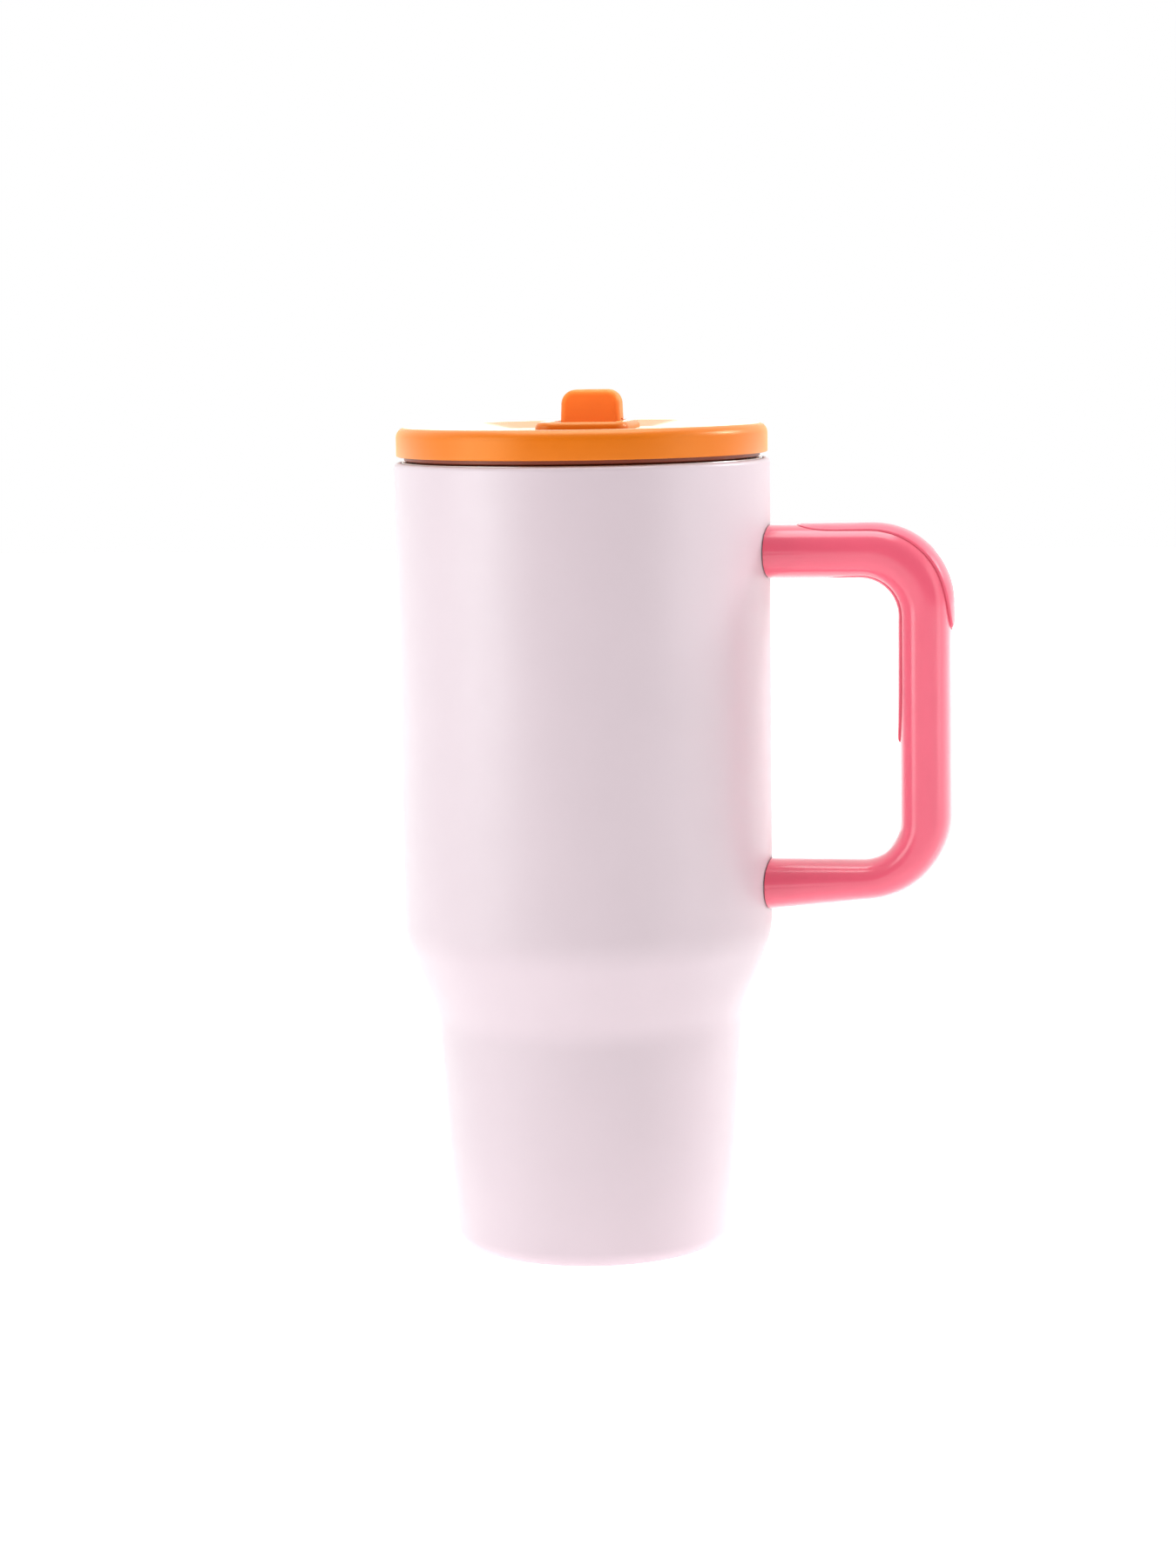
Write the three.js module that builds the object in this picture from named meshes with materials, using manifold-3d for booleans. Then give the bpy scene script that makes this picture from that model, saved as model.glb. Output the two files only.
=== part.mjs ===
// Insulated tumbler with a side handle and a push-in lid that carries a flip-up straw spout.
// Millimetres, +Z up. The origin is the centre of the face that the tumbler stands on.
// The handle points along +X. The spout stands behind the centre, towards +Y, and folds towards -Y.

import * as THREE from 'three';
import { mergeVertices } from 'three/addons/utils/BufferGeometryUtils.js';
import Module from 'manifold-3d';

const wasm = await Module();
wasm.setup();

// ---------------------------------------------------------------- driving dimensions

const GAP = 0.3; // clearance between two pieces that touch on the real object
const ROUND = 48; // sides of a large turned piece
const SMALL_ROUND = 16; // sides of a small turned piece
const ARC_STEP = Math.PI / 5; // coarsest turn within a rounded edge

// steel body
const SHELL_WALL = 0.6;
const LINER_WALL = 0.5;
const VACUUM = 2.2;
const SHELL_BASE = 0.4; // the shell's foot ring clears the ground by this much
const SHELL_TOP = 213.9;
const RIM_TOP = 214.1;
const FOOT_R = 32; // inside of the folded foot ring
const LOWER = { r: 37.2, kneeR: 41.4, kneeZ: 63.6 }; // cup-holder part
const UPPER = { r: 50, z: 86.1, topR: 50.5 }; // grip part, nearly a cylinder
const LINER_FLOOR = 7.4;
const RIM = { outR: 48.5, flareZ: 212, neckZ: 210.6 };

// lid
const LID = { r: 49.9, bottom: 215.5, top: 223.3, dish: 221.5, dishR: 29, rimR: 46, wall: 1.8 };
const PLUG = {
  r: 44.3, bottom: 204, wall: 1.7, floor: 1.6, flangeR: 47.8, flangeLow: 214.4, flangeTop: 217.1,
};
const GROOVE = { r: 43.4, low: 206.6, high: 212.4 };
const GASKET_R = 46.8;
const VENT = { y: -24, r: 1.3 };

// spout and its housing
const PIVOT = { y: 18, z: 219.4 };
const SPOUT = { halfW: 8.3, topHalfW: 7.9, halfD: 4.2, top: 12.9, seam: 2.65, hubR: 4.8, boreR: 2.1 };
const STEM = { halfW: 4.7, halfD: 3, top: 10.2 };
const TRUNNION = { r: 1.8, reach: 9.9 };
const SEAL = { r: 4.6, bottom: 213.2, top: 214.9 };
const PLINTH = { halfW: 12.75, front: -4, back: 25, bottom: 221.8, top: 224, corner: 5, edge: 1.5 };
const CHANNEL = { halfW: 8.8, front: 4, back: 23.1, floor: 214.3, ledge: 219 };
const WELL = { halfW: 11.3, front: -3.2, back: 24.4, bottom: 212.4, top: 222.5, corner: 4 };
const PORT = { r: 4.4, boreR: 2.8, bottom: 196.5 };
const STRAW = { r: 4, boreR: 2.8, bottom: 14, top: 193.7 };
const ADAPTER = { r: 6, top: 203.4, bottom: 182, ledge: 194.2 };

// handle: outer and inner outlines in the XZ plane
const HANDLE = {
  outX: 99.1, inX: 85.3, halfW: 10,
  top: 196.2, under: 181.9, floor: 106.3, heelZ: 92.55, heelSlope: 0.107,
  outR: 21.2, inR: 10.2, outLowR: 23.8, inLowR: 10.6,
  power: 2.4, startX: 44,
};
const GRIP = { depth: 1, taper: 0.3 };
const BRACKET = { halfW: 5.5, halfH: 3.2, endX: 69, lowHalfH: 2.6 };
const SCREW = { x: 64, r: 1.25, headR: 2.8, head: 1.1 };

// ---------------------------------------------------------------- materials

const material = (color, roughness, metalness = 0) =>
  new THREE.MeshStandardMaterial({ color, roughness, metalness });

const powderCoat = material(0xead9e2, 0.62);
const steel = material(0xc4c6c8, 0.32, 1);
const lidPlastic = material(0xf58a3a, 0.42);
const lidInner = material(0xf08436, 0.5);
const spoutSilicone = material(0xfb7138, 0.5);
const handlePlastic = material(0xf4758a, 0.35);
const gripRubber = material(0xe8697f, 0.55);
const sealSilicone = material(0xf2efec, 0.6);
const strawPlastic = material(0xf7c9a6, 0.3);
const footRubber = material(0xd9c8d2, 0.75);
const getterMetal = material(0x77787c, 0.6, 1);

// ---------------------------------------------------------------- solids

// A closed triangle mesh as a solid: shared corners merged, slivers dropped, faces pointing out.
function solid(geometry) {
  const bare = geometry.index ? geometry.toNonIndexed() : geometry;
  bare.deleteAttribute('normal');
  bare.deleteAttribute('uv');
  const merged = mergeVertices(bare, 1e-4);
  const position = merged.getAttribute('position').array;
  const corner = (index) => new THREE.Vector3().fromArray(position, 3 * index);
  const triangles = [];
  let volume = 0;
  for (let i = 0; i < merged.index.count; i += 3) {
    const [a, b, c] = merged.index.array.slice(i, i + 3);
    if (a === b || b === c || c === a) continue;
    triangles.push([a, b, c]);
    volume += corner(a).dot(corner(b).cross(corner(c)));
  }
  const outward = volume > 0 ? triangles : triangles.map(([a, b, c]) => [a, c, b]);
  return new wasm.Manifold(new wasm.Mesh({
    numProp: 3,
    vertProperties: new Float32Array(position),
    triVerts: new Uint32Array(outward.flat()),
  }));
}

// A round piece about +Z from a closed outline of [radius, height] points.
function turned(outline, sides = ROUND) {
  const onAxis = outline[0][0] === 0;
  const points = (onAxis ? outline : [...outline, outline[0]]).map(([r, z]) => new THREE.Vector2(r, z));
  return solid(new THREE.LatheGeometry(points, sides).rotateX(Math.PI / 2));
}

const cylinder = (r, low, high, sides = SMALL_ROUND) =>
  turned([[0, low], [r, low], [r, high], [0, high]], sides);

const tube = (r, boreR, low, high, sides = SMALL_ROUND) =>
  turned([[boreR, low], [r, low], [r, high], [boreR, high]], sides);

const box = (x0, x1, y0, y1, z0, z1) =>
  solid(new THREE.BoxGeometry(x1 - x0, y1 - y0, z1 - z0)
    .translate((x0 + x1) / 2, (y0 + y1) / 2, (z0 + z1) / 2));

// A rod along X, centred on x = 0.
const crossRod = (r, halfLength, sides = 24) =>
  solid(new THREE.CylinderGeometry(r, r, 2 * halfLength, sides).rotateZ(Math.PI / 2));

// An outline of [x, y, radius] corners in which every corner that has a radius becomes an arc.
function rounded(corners, step = ARC_STEP) {
  const points = [];
  corners.forEach(([x, y, radius], i) => {
    const here = new THREE.Vector2(x, y);
    if (!radius) {
      points.push([x, y]);
      return;
    }
    const last = corners[(i + corners.length - 1) % corners.length];
    const next = corners[(i + 1) % corners.length];
    const back = new THREE.Vector2(last[0], last[1]).sub(here).normalize();
    const ahead = new THREE.Vector2(next[0], next[1]).sub(here).normalize();
    const half = Math.acos(THREE.MathUtils.clamp(back.dot(ahead), -1, 1)) / 2;
    const reach = radius / Math.tan(half);
    const centre = here.clone().add(back.clone().add(ahead).setLength(radius / Math.sin(half)));
    const start = here.clone().addScaledVector(back, reach).sub(centre);
    const end = here.clone().addScaledVector(ahead, reach).sub(centre);
    const turn = Math.atan2(start.cross(end), start.dot(end));
    const count = Math.max(1, Math.ceil(Math.abs(turn) / step));
    for (let k = 0; k <= count; k++) {
      const spoke = start.clone().rotateAround(new THREE.Vector2(), (turn * k) / count).add(centre);
      points.push([spoke.x, spoke.y]);
    }
  });
  return points;
}

// The same open outline moved to its left by a distance.
function inset(corners, distance) {
  const lines = corners.slice(1).map((end, i) => {
    const start = corners[i];
    const along = new THREE.Vector2(end[0] - start[0], end[1] - start[1]).normalize();
    const shift = new THREE.Vector2(-along.y, along.x).multiplyScalar(distance);
    return { start: new THREE.Vector2(start[0], start[1]).add(shift), along, shift };
  });
  return corners.map(([x, y, radius], i) => {
    const before = lines[i - 1];
    const after = lines[i];
    if (!before || !after) {
      const { shift } = before ?? after;
      return [x + shift.x, y + shift.y];
    }
    const bend = before.along.cross(after.along);
    const run = after.start.clone().sub(before.start).cross(after.along) / bend;
    const point = before.start.clone().addScaledVector(before.along, run);
    return [point.x, point.y, radius && radius - Math.sign(bend) * distance];
  });
}

// A plate in the XY plane with round corners, and with rounded upper and lower edges if edge isn't 0.
function roundPlate(x0, x1, y0, y1, z0, z1, corner, edge) {
  const [l, r, f, b] = [x0 + edge, x1 - edge, y0 + edge, y1 - edge];
  const arc = corner - edge;
  const outline = rounded([[l, f, arc], [r, f, arc], [r, b, arc], [l, b, arc]]);
  const shape = new THREE.Shape(outline.map(([x, y]) => new THREE.Vector2(x, y)));
  return solid(new THREE.ExtrudeGeometry(shape, {
    depth: z1 - z0 - 2 * edge, bevelEnabled: edge > 0,
    bevelThickness: edge, bevelSize: edge, bevelSegments: 3,
  }).translate(0, 0, z0 + edge));
}

// A closed outline of [y, z] points pushed along X.
function crossProfile(outline, halfLength) {
  const shape = new THREE.Shape(outline.map(([y, z]) => new THREE.Vector2(y, z)));
  const geometry = new THREE.ExtrudeGeometry(shape, { depth: 2 * halfLength, bevelEnabled: false });
  const yzPlane = new THREE.Matrix4().makeBasis(
    new THREE.Vector3(0, 1, 0), new THREE.Vector3(0, 0, 1), new THREE.Vector3(1, 0, 0));
  return solid(geometry.translate(0, 0, -halfLength).applyMatrix4(yzPlane));
}

// A skin over a grid of points: rows of equal length, closed across each row, capped at both ends.
function loft(rows) {
  const width = rows[0].length;
  const positions = rows.flat().flatMap((point) => point.toArray());
  const index = [];
  for (let i = 0; i + 1 < rows.length; i++) {
    for (let j = 0; j < width; j++) {
      const [a, b] = [i * width + j, i * width + ((j + 1) % width)];
      index.push(a, b, a + width, b, b + width, a + width);
    }
  }
  const lastRow = (rows.length - 1) * width;
  for (let j = 1; j + 1 < width; j++) {
    index.push(0, j + 1, j, lastRow, lastRow + j, lastRow + j + 1);
  }
  const geometry = new THREE.BufferGeometry();
  geometry.setAttribute('position', new THREE.Float32BufferAttribute(positions, 3));
  geometry.setIndex(index);
  return solid(geometry);
}

// A named mesh from a solid.
function piece(name, body, look) {
  const mesh = body.getMesh();
  const geometry = new THREE.BufferGeometry();
  geometry.setAttribute('position', new THREE.BufferAttribute(mesh.vertProperties, 3));
  geometry.setIndex(new THREE.BufferAttribute(mesh.triVerts, 1));
  const result = new THREE.Mesh(geometry, look);
  result.name = name;
  return result;
}

// ---------------------------------------------------------------- steel body

// Outside of the shell, from the folded foot ring to the edge beside the drinking rim.
const bodyOutline = [
  [FOOT_R, 3.1], [FOOT_R, SHELL_BASE], [LOWER.r, SHELL_BASE, 4.5],
  [LOWER.kneeR, LOWER.kneeZ, 18], [UPPER.r, UPPER.z, 15],
  [UPPER.topR, SHELL_TOP, 1.2], [RIM.outR + GAP, SHELL_TOP],
];

function outerShell() {
  const inside = inset(bodyOutline, SHELL_WALL).reverse();
  return turned([...rounded(bodyOutline), ...rounded(inside)]);
}

// The drinking cup. Its wall follows the shell at the width of the vacuum.
function innerLiner() {
  const [, , base, knee, shoulder, top] = inset(bodyOutline, SHELL_WALL + VACUUM);
  const slope = (knee[0] - base[0]) / (knee[1] - base[1]);
  const floorR = base[0] + slope * (LINER_FLOOR - base[1]);
  const outside = [[0, LINER_FLOOR], [floorR, LINER_FLOOR, 9], knee, shoulder, [top[0], RIM.neckZ]];
  const inside = inset(outside, LINER_WALL);
  const rimInR = inside.at(-1)[0];
  inside[0] = [0, LINER_FLOOR + LINER_WALL];
  inside[inside.length - 1] = [rimInR, RIM_TOP];
  const rim = [[RIM.outR, RIM.flareZ], [RIM.outR, RIM_TOP]];
  return turned(rounded([...outside, ...rim, ...inside.reverse()]));
}

// Disc welded into the shell's foot, with a raised dimple and the pumping hole in its middle.
function vacuumBasePlate() {
  return turned([[1, 4.6], [5.5, 4.6], [7.5, 3.4], [34.4, 3.4], [34.4, 4], [7.8, 4], [5.8, 5.2], [1, 5.2]]);
}

function foot() {
  return [
    piece('vacuum_base_plate', vacuumBasePlate(), steel),
    piece('vacuum_seal_bead', turned([[0, 3.5], [1.8, 3.7], [2.4, 4.2], [0, 4.3]], SMALL_ROUND), getterMetal),
    piece('getter', cylinder(4.5, 4.3, 6).translate([16, 0, 0]), getterMetal),
    piece('base_cover', cylinder(31.6, 1.9, 2.8, ROUND), steel),
    piece('foot_pad', turned([[0, 0], [31.1, 0], [31.5, 0.4], [31.5, 1.6], [0, 1.6]]), footRubber),
  ];
}

// ---------------------------------------------------------------- handle

// Outer and inner outline points at station s: 0 to 1 upper arm, 1 to 2 upper corner, 2 to 3 grip,
// 3 to 4 lower corner, 4 to 5 lower arm.
function handleOutline(s) {
  const h = HANDLE;
  const part = Math.min(4, Math.floor(s));
  const f = s - part;
  const point = (x, z) => new THREE.Vector3(x, 0, z);
  const arc = (x, z, r, angle) => point(x + r * Math.cos(angle), z + r * Math.sin(angle));
  const heelTurn = Math.PI / 2 - Math.atan(h.heelSlope);
  const lowCentreX = h.outX - h.outLowR;
  const heelStart = h.heelZ + h.heelSlope * (lowCentreX + h.outLowR * Math.cos(heelTurn) - UPPER.r);
  const lowCentreZ = heelStart + h.outLowR * Math.sin(heelTurn);
  const quarter = Math.PI / 2;
  const corners = {
    outer: (g) => arc(h.outX - h.outR, h.top - h.outR, h.outR, quarter * (1 - g)),
    inner: (g) => arc(h.inX - h.inR, h.under - h.inR, h.inR, quarter * (1 - g)),
    outerLow: (g) => arc(lowCentreX, lowCentreZ, h.outLowR, -heelTurn * g),
    innerLow: (g) => arc(h.inX - h.inLowR, h.floor + h.inLowR, h.inLowR, -quarter * g),
  };
  const heelEnd = point(h.startX, h.heelZ + h.heelSlope * (h.startX - UPPER.r));
  const spans = [
    [point(h.startX, h.top), corners.outer(0), point(h.startX, h.under), corners.inner(0)],
    null,
    [corners.outer(1), corners.outerLow(0), corners.inner(1), corners.innerLow(0)],
    null,
    [corners.outerLow(1), heelEnd, corners.innerLow(1), point(h.startX, h.floor)],
  ];
  if (part === 1) return [corners.outer(f), corners.inner(f)];
  if (part === 3) return [corners.outerLow(f), corners.innerLow(f)];
  const [outA, outB, inA, inB] = spans[part];
  return [outA.lerp(outB, f), inA.lerp(inB, f)];
}

// A point on the handle's skin: angle 0 is the outer crest, half a turn is the inner crest.
function handleSkin(s, angle, lift = 0) {
  const [outer, inner] = handleOutline(s);
  const centre = outer.clone().add(inner).multiplyScalar(0.5);
  const half = outer.clone().sub(centre);
  const squash = (value) => Math.sign(value) * Math.abs(value) ** (2 / HANDLE.power);
  const across = (HANDLE.halfW + lift) * squash(Math.sin(angle));
  const out = half.clone().setLength(half.length() + lift).multiplyScalar(squash(Math.cos(angle)));
  return centre.add(out).add(new THREE.Vector3(0, across, 0));
}

const CORNER_STEPS = 6;

// Stations between two ends: both ends, the ends of straight stretches and the steps of the corners.
function stations(from, to) {
  const fixed = [1, 2, 3, 4];
  for (let k = 1; k < CORNER_STEPS; k++) {
    fixed.push(1 + k / CORNER_STEPS, 3 + k / CORNER_STEPS);
  }
  const between = fixed.filter((s) => s > from && s < to).sort((a, b) => a - b);
  return [from, ...between, to];
}

function handleCore() {
  const sides = 20;
  const ring = (s) => Array.from({ length: sides }, (_, k) => handleSkin(s, (2 * Math.PI * k) / sides));
  return loft(stations(0, 5).map(ring));
}

// A strip along the handle between two stations, centred on the angle middle, with pointed ends.
// Its upper face rises by grow for each station.
function handleStrip(from, to, middle, spread, low, high, grow = 0) {
  const steps = 6;
  const { taper } = GRIP;
  const ends = [from + taper / 4, from + taper, to - taper, to - taper / 4];
  const all = [...new Set([...stations(from, to), ...ends])].sort((a, b) => a - b);
  const rows = all.map((s) => {
    const room = Math.min(1, Math.min(s - from, to - s) / taper);
    const reach = spread * (0.08 + 0.92 * Math.sqrt(1 - (1 - room) ** 2));
    const fan = Array.from({ length: steps + 1 }, (_, k) => middle - reach + (2 * reach * k) / steps);
    const top = fan.map((angle) => handleSkin(s, angle, high + grow * (s - from)));
    const bottom = fan.reverse().map((angle) => handleSkin(s, angle, low));
    return [...top, ...bottom];
  });
  return loft(rows);
}

// First and last station, middle angle, half the angle it covers, height above the skin at the start
// and the growth of that height for each station.
const OUTER_GRIP = [0.42, 2.12, 0, 0.7, 0.15, 0.38];
const INNER_GRIP = [0.7, 2.62, Math.PI, 0.52, 0.05, 0.3];

function gripPad([from, to, middle, spread, proud, grow]) {
  return handleStrip(from, to, middle, spread, GAP - GRIP.depth, proud, grow);
}

function gripRecess([from, to, middle, spread]) {
  const margin = 0.012;
  return handleStrip(from - margin, to + margin, middle, spread + 0.035, -GRIP.depth, 2);
}

const armZ = (HANDLE.top + HANDLE.under) / 2 - 0.9;
const lowArmZ = (HANDLE.floor + HANDLE.heelZ) / 2 + 1.1;

// Tongue of a bracket, and with extra room on every side the socket that takes it.
function tongue(z, halfH, room = 0) {
  const halfW = BRACKET.halfW + room;
  return box(UPPER.r - 6, BRACKET.endX + room, -halfW, halfW, z - halfH - room, z + halfH + room);
}

// The body as far out as its grip part, grown by a gap.
const bodyKeepOut = (gap) => turned([
  [0, UPPER.z], [UPPER.r + gap, UPPER.z], [UPPER.topR + gap, SHELL_TOP], [0, SHELL_TOP],
]);

function bracket(z, halfH) {
  const hole = cylinder(SCREW.r + GAP, z - 10, z + 10).translate([SCREW.x, 0, 0]);
  return tongue(z, halfH).subtract(bodyKeepOut(GAP)).subtract(hole);
}

// Screw with its head up, the head's top at z = 0.
function screw(length) {
  const slot = box(-1.5, 1.5, -0.35, 0.35, -0.5, 1);
  return turned([
    [0, -length], [SCREW.r, -length], [SCREW.r, -SCREW.head], [SCREW.headR, -SCREW.head],
    [SCREW.headR, 0], [0, 0],
  ], SMALL_ROUND).subtract(slot).subtract(slot.rotate([0, 0, 90]));
}

const upperScrewTop = HANDLE.top - GRIP.depth - 0.15;
const lowerScrewTop = HANDLE.heelZ + HANDLE.heelSlope * (SCREW.x - UPPER.r) + 1.6;

function handle() {
  const upperSeat = cylinder(SCREW.headR + GAP, upperScrewTop - SCREW.head - GAP, 200);
  const lowerSeat = cylinder(SCREW.headR + GAP, 90, lowerScrewTop + SCREW.head + GAP);
  const cuts = [
    bodyKeepOut(GAP),
    tongue(armZ, BRACKET.halfH, GAP),
    tongue(lowArmZ, BRACKET.lowHalfH, GAP),
    gripRecess(OUTER_GRIP),
    gripRecess(INNER_GRIP),
    upperSeat.translate([SCREW.x, 0, 0]),
    cylinder(SCREW.r + GAP, armZ, 198).translate([SCREW.x, 0, 0]),
    lowerSeat.translate([SCREW.x, 0, 0]),
    cylinder(SCREW.r + GAP, 90, lowArmZ).translate([SCREW.x, 0, 0]),
  ];
  return cuts.reduce((rest, cut) => rest.subtract(cut), handleCore());
}

// Soft plug over the lower screw, flush with the arm's underside.
function screwCap() {
  return cylinder(SCREW.headR, lowerScrewTop - 1.35, lowerScrewTop - GAP).translate([SCREW.x, 0, 0]);
}

function handleParts() {
  return [
    piece('handle', handle(), handlePlastic),
    piece('handle_grip_outer', gripPad(OUTER_GRIP), gripRubber),
    piece('handle_grip_inner', gripPad(INNER_GRIP), gripRubber),
    piece('handle_bracket_upper', bracket(armZ, BRACKET.halfH), steel),
    piece('handle_bracket_lower', bracket(lowArmZ, BRACKET.lowHalfH), steel),
    piece('handle_screw_upper', screw(8.5).translate([SCREW.x, 0, upperScrewTop]), steel),
    piece('handle_screw_lower',
      screw(7).rotate([180, 0, 0]).translate([SCREW.x, 0, lowerScrewTop]), steel),
    piece('handle_screw_cap', screwCap(), gripRubber),
  ];
}

// ---------------------------------------------------------------- lid

const wellBlock = (room) => roundPlate(-WELL.halfW - room, WELL.halfW + room,
  WELL.front - room, WELL.back + room, WELL.bottom - room, WELL.top, WELL.corner + room, 0);

function lidCover() {
  const underside = LID.dish - LID.wall;
  const profile = rounded([
    [0, LID.dish], [LID.dishR, LID.dish], [LID.rimR, LID.top], [LID.r, LID.top, 2.7],
    [LID.r, LID.bottom], [LID.r - LID.wall, LID.bottom], [LID.r - LID.wall, underside], [0, underside],
  ]);
  const vent = cylinder(1, underside - 1, LID.top, 12).translate([0, VENT.y, 0]);
  return turned(profile).subtract(wellBlock(GAP)).subtract(vent);
}

// Dish that plugs the cup. It closes the lid from below and carries the gasket. Its flange rests
// on the rim.
function lidBase() {
  const inR = PLUG.r - PLUG.wall;
  const profile = rounded([
    [0, PLUG.bottom], [PLUG.r, PLUG.bottom, 2], [PLUG.r, GROOVE.low], [GROOVE.r, GROOVE.low],
    [GROOVE.r, GROOVE.high], [PLUG.r, GROOVE.high],
    [PLUG.r, PLUG.flangeLow], [PLUG.flangeR, PLUG.flangeLow],
    [PLUG.flangeR, PLUG.flangeTop], [inR, PLUG.flangeTop],
    [inR, PLUG.bottom + PLUG.floor], [0, PLUG.bottom + PLUG.floor],
  ]);
  const portHole = cylinder(PORT.r + 1.8, 200, 210).translate([0, PIVOT.y, 0]);
  const ventHole = cylinder(VENT.r, 200, 210, 12).translate([0, VENT.y, 0]);
  return turned(profile).subtract(portHole).subtract(ventHole);
}

// Ring seal with two soft ribs that press on the cup's wall.
function lidGasket() {
  const backR = GROOVE.r + GAP;
  const valleyR = PLUG.r + 0.9;
  const [low, high] = [GROOVE.low + GAP, GROOVE.high - GAP];
  const ribs = [low + 1.1, high - 1.1].flatMap((z) =>
    [[valleyR, z - 0.9], [GASKET_R, z], [valleyR, z + 0.7]]);
  return turned([[backR, low], ...ribs, [backR, high]]);
}

// Raised surround of the spout: a plate on the lid, and under it the well that the spout folds into.
function spoutHousing() {
  const plinth = roundPlate(-PLINTH.halfW, PLINTH.halfW, PLINTH.front, PLINTH.back,
    PLINTH.bottom - PLINTH.edge, PLINTH.top, PLINTH.corner, PLINTH.edge);
  const brim = box(-20, 20, -10, 30, PLINTH.bottom - 5, PLINTH.bottom);
  const channel = crossProfile([
    [CHANNEL.back, PLINTH.top + 1], [CHANNEL.back, CHANNEL.floor], [CHANNEL.front, CHANNEL.floor],
    [CHANNEL.front, CHANNEL.ledge], [PLINTH.front + 2.8, PLINTH.top + 1],
  ], CHANNEL.halfW);
  // the well's front wall runs parallel to the thumb ramp above it
  const undercut = crossProfile([
    [CHANNEL.front - 2, WELL.bottom - 1], [CHANNEL.front - 2, CHANNEL.ledge - 1.6],
    [WELL.front - 1, PLINTH.bottom], [WELL.front - 1, WELL.bottom - 1],
  ], 2 * WELL.halfW);
  const axle = crossRod(TRUNNION.r + GAP, TRUNNION.reach + GAP, SMALL_ROUND)
    .translate([0, PIVOT.y, PIVOT.z]);
  const port = cylinder(PORT.r, PORT.bottom, WELL.bottom + 0.5).translate([0, PIVOT.y, 0]);
  const bore = cylinder(PORT.boreR, PORT.bottom - 1, 216).translate([0, PIVOT.y, 0]);
  const sealSeat = cylinder(SEAL.r + GAP, SEAL.bottom - GAP, 216).translate([0, PIVOT.y, 0]);
  return plinth.subtract(brim).add(wellBlock(0).subtract(undercut)).add(port)
    .subtract(channel).subtract(axle).subtract(bore).subtract(sealSeat);
}

// Saddle seal under the spout's hub.
function spoutSeal() {
  const hub = crossRod(SPOUT.hubR + GAP, 8).translate([0, PIVOT.y, PIVOT.z]);
  return tube(SEAL.r, PORT.boreR, SEAL.bottom, SEAL.top).translate([0, PIVOT.y, 0]).subtract(hub);
}

// Elastic sleeve that joins the straw to the housing's port.
function strawAdapter() {
  const portSocket = PORT.r + GAP;
  const strawSocket = STRAW.r + GAP;
  const septumTop = PORT.bottom - GAP;
  return turned(rounded([
    [ADAPTER.r, ADAPTER.bottom, 0.8], [ADAPTER.r, ADAPTER.top], [portSocket, ADAPTER.top],
    [portSocket, septumTop], [PORT.boreR, septumTop], [PORT.boreR, ADAPTER.ledge],
    [strawSocket, ADAPTER.ledge], [strawSocket, ADAPTER.bottom],
  ]), SMALL_ROUND).translate([0, PIVOT.y, 0]);
}

// Umbrella valve that lets air in as the drink goes out.
function ventValve() {
  const floorTop = PLUG.bottom + PLUG.floor;
  return turned([
    [0, 202.4], [2.6, 202.7], [4, 203.3], [4, PLUG.bottom - GAP], [1, PLUG.bottom - GAP],
    [1, floorTop + GAP], [2.2, floorTop + GAP], [1.2, 208], [0, 208],
  ], 16).translate([0, VENT.y, 0]);
}

function lidParts() {
  const portSeal = tube(PORT.r + 1.5, PORT.r + GAP, PLUG.bottom - 0.2, PLUG.bottom + PLUG.floor + 0.6);
  const straw = tube(STRAW.r, STRAW.boreR, STRAW.bottom, STRAW.top);
  return [
    piece('lid_cover', lidCover(), lidPlastic),
    piece('lid_base', lidBase(), lidInner),
    piece('lid_gasket', lidGasket(), sealSilicone),
    piece('spout_housing', spoutHousing(), lidPlastic),
    piece('spout_seal', spoutSeal(), sealSilicone),
    piece('port_seal', portSeal.translate([0, PIVOT.y, 0]), sealSilicone),
    piece('straw_adapter', strawAdapter(), sealSilicone),
    piece('straw', straw.translate([0, PIVOT.y, 0]), strawPlastic),
    piece('vent_valve', ventValve(), sealSilicone),
  ];
}

// ---------------------------------------------------------------- spout, drawn about its pivot

function spoutCore() {
  const hub = crossRod(SPOUT.hubR, SPOUT.halfW, 32);
  const trunnions = crossRod(TRUNNION.r, TRUNNION.reach, SMALL_ROUND);
  const neck = box(-SPOUT.halfW, SPOUT.halfW, -SPOUT.halfD, SPOUT.halfD, 0, SPOUT.seam - GAP / 2);
  const stem = box(-STEM.halfW, STEM.halfW, -STEM.halfD, STEM.halfD, 0, STEM.top);
  const bore = cylinder(SPOUT.boreR, -8, 14, 16);
  return hub.add(trunnions).add(neck).add(stem).subtract(bore);
}

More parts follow.
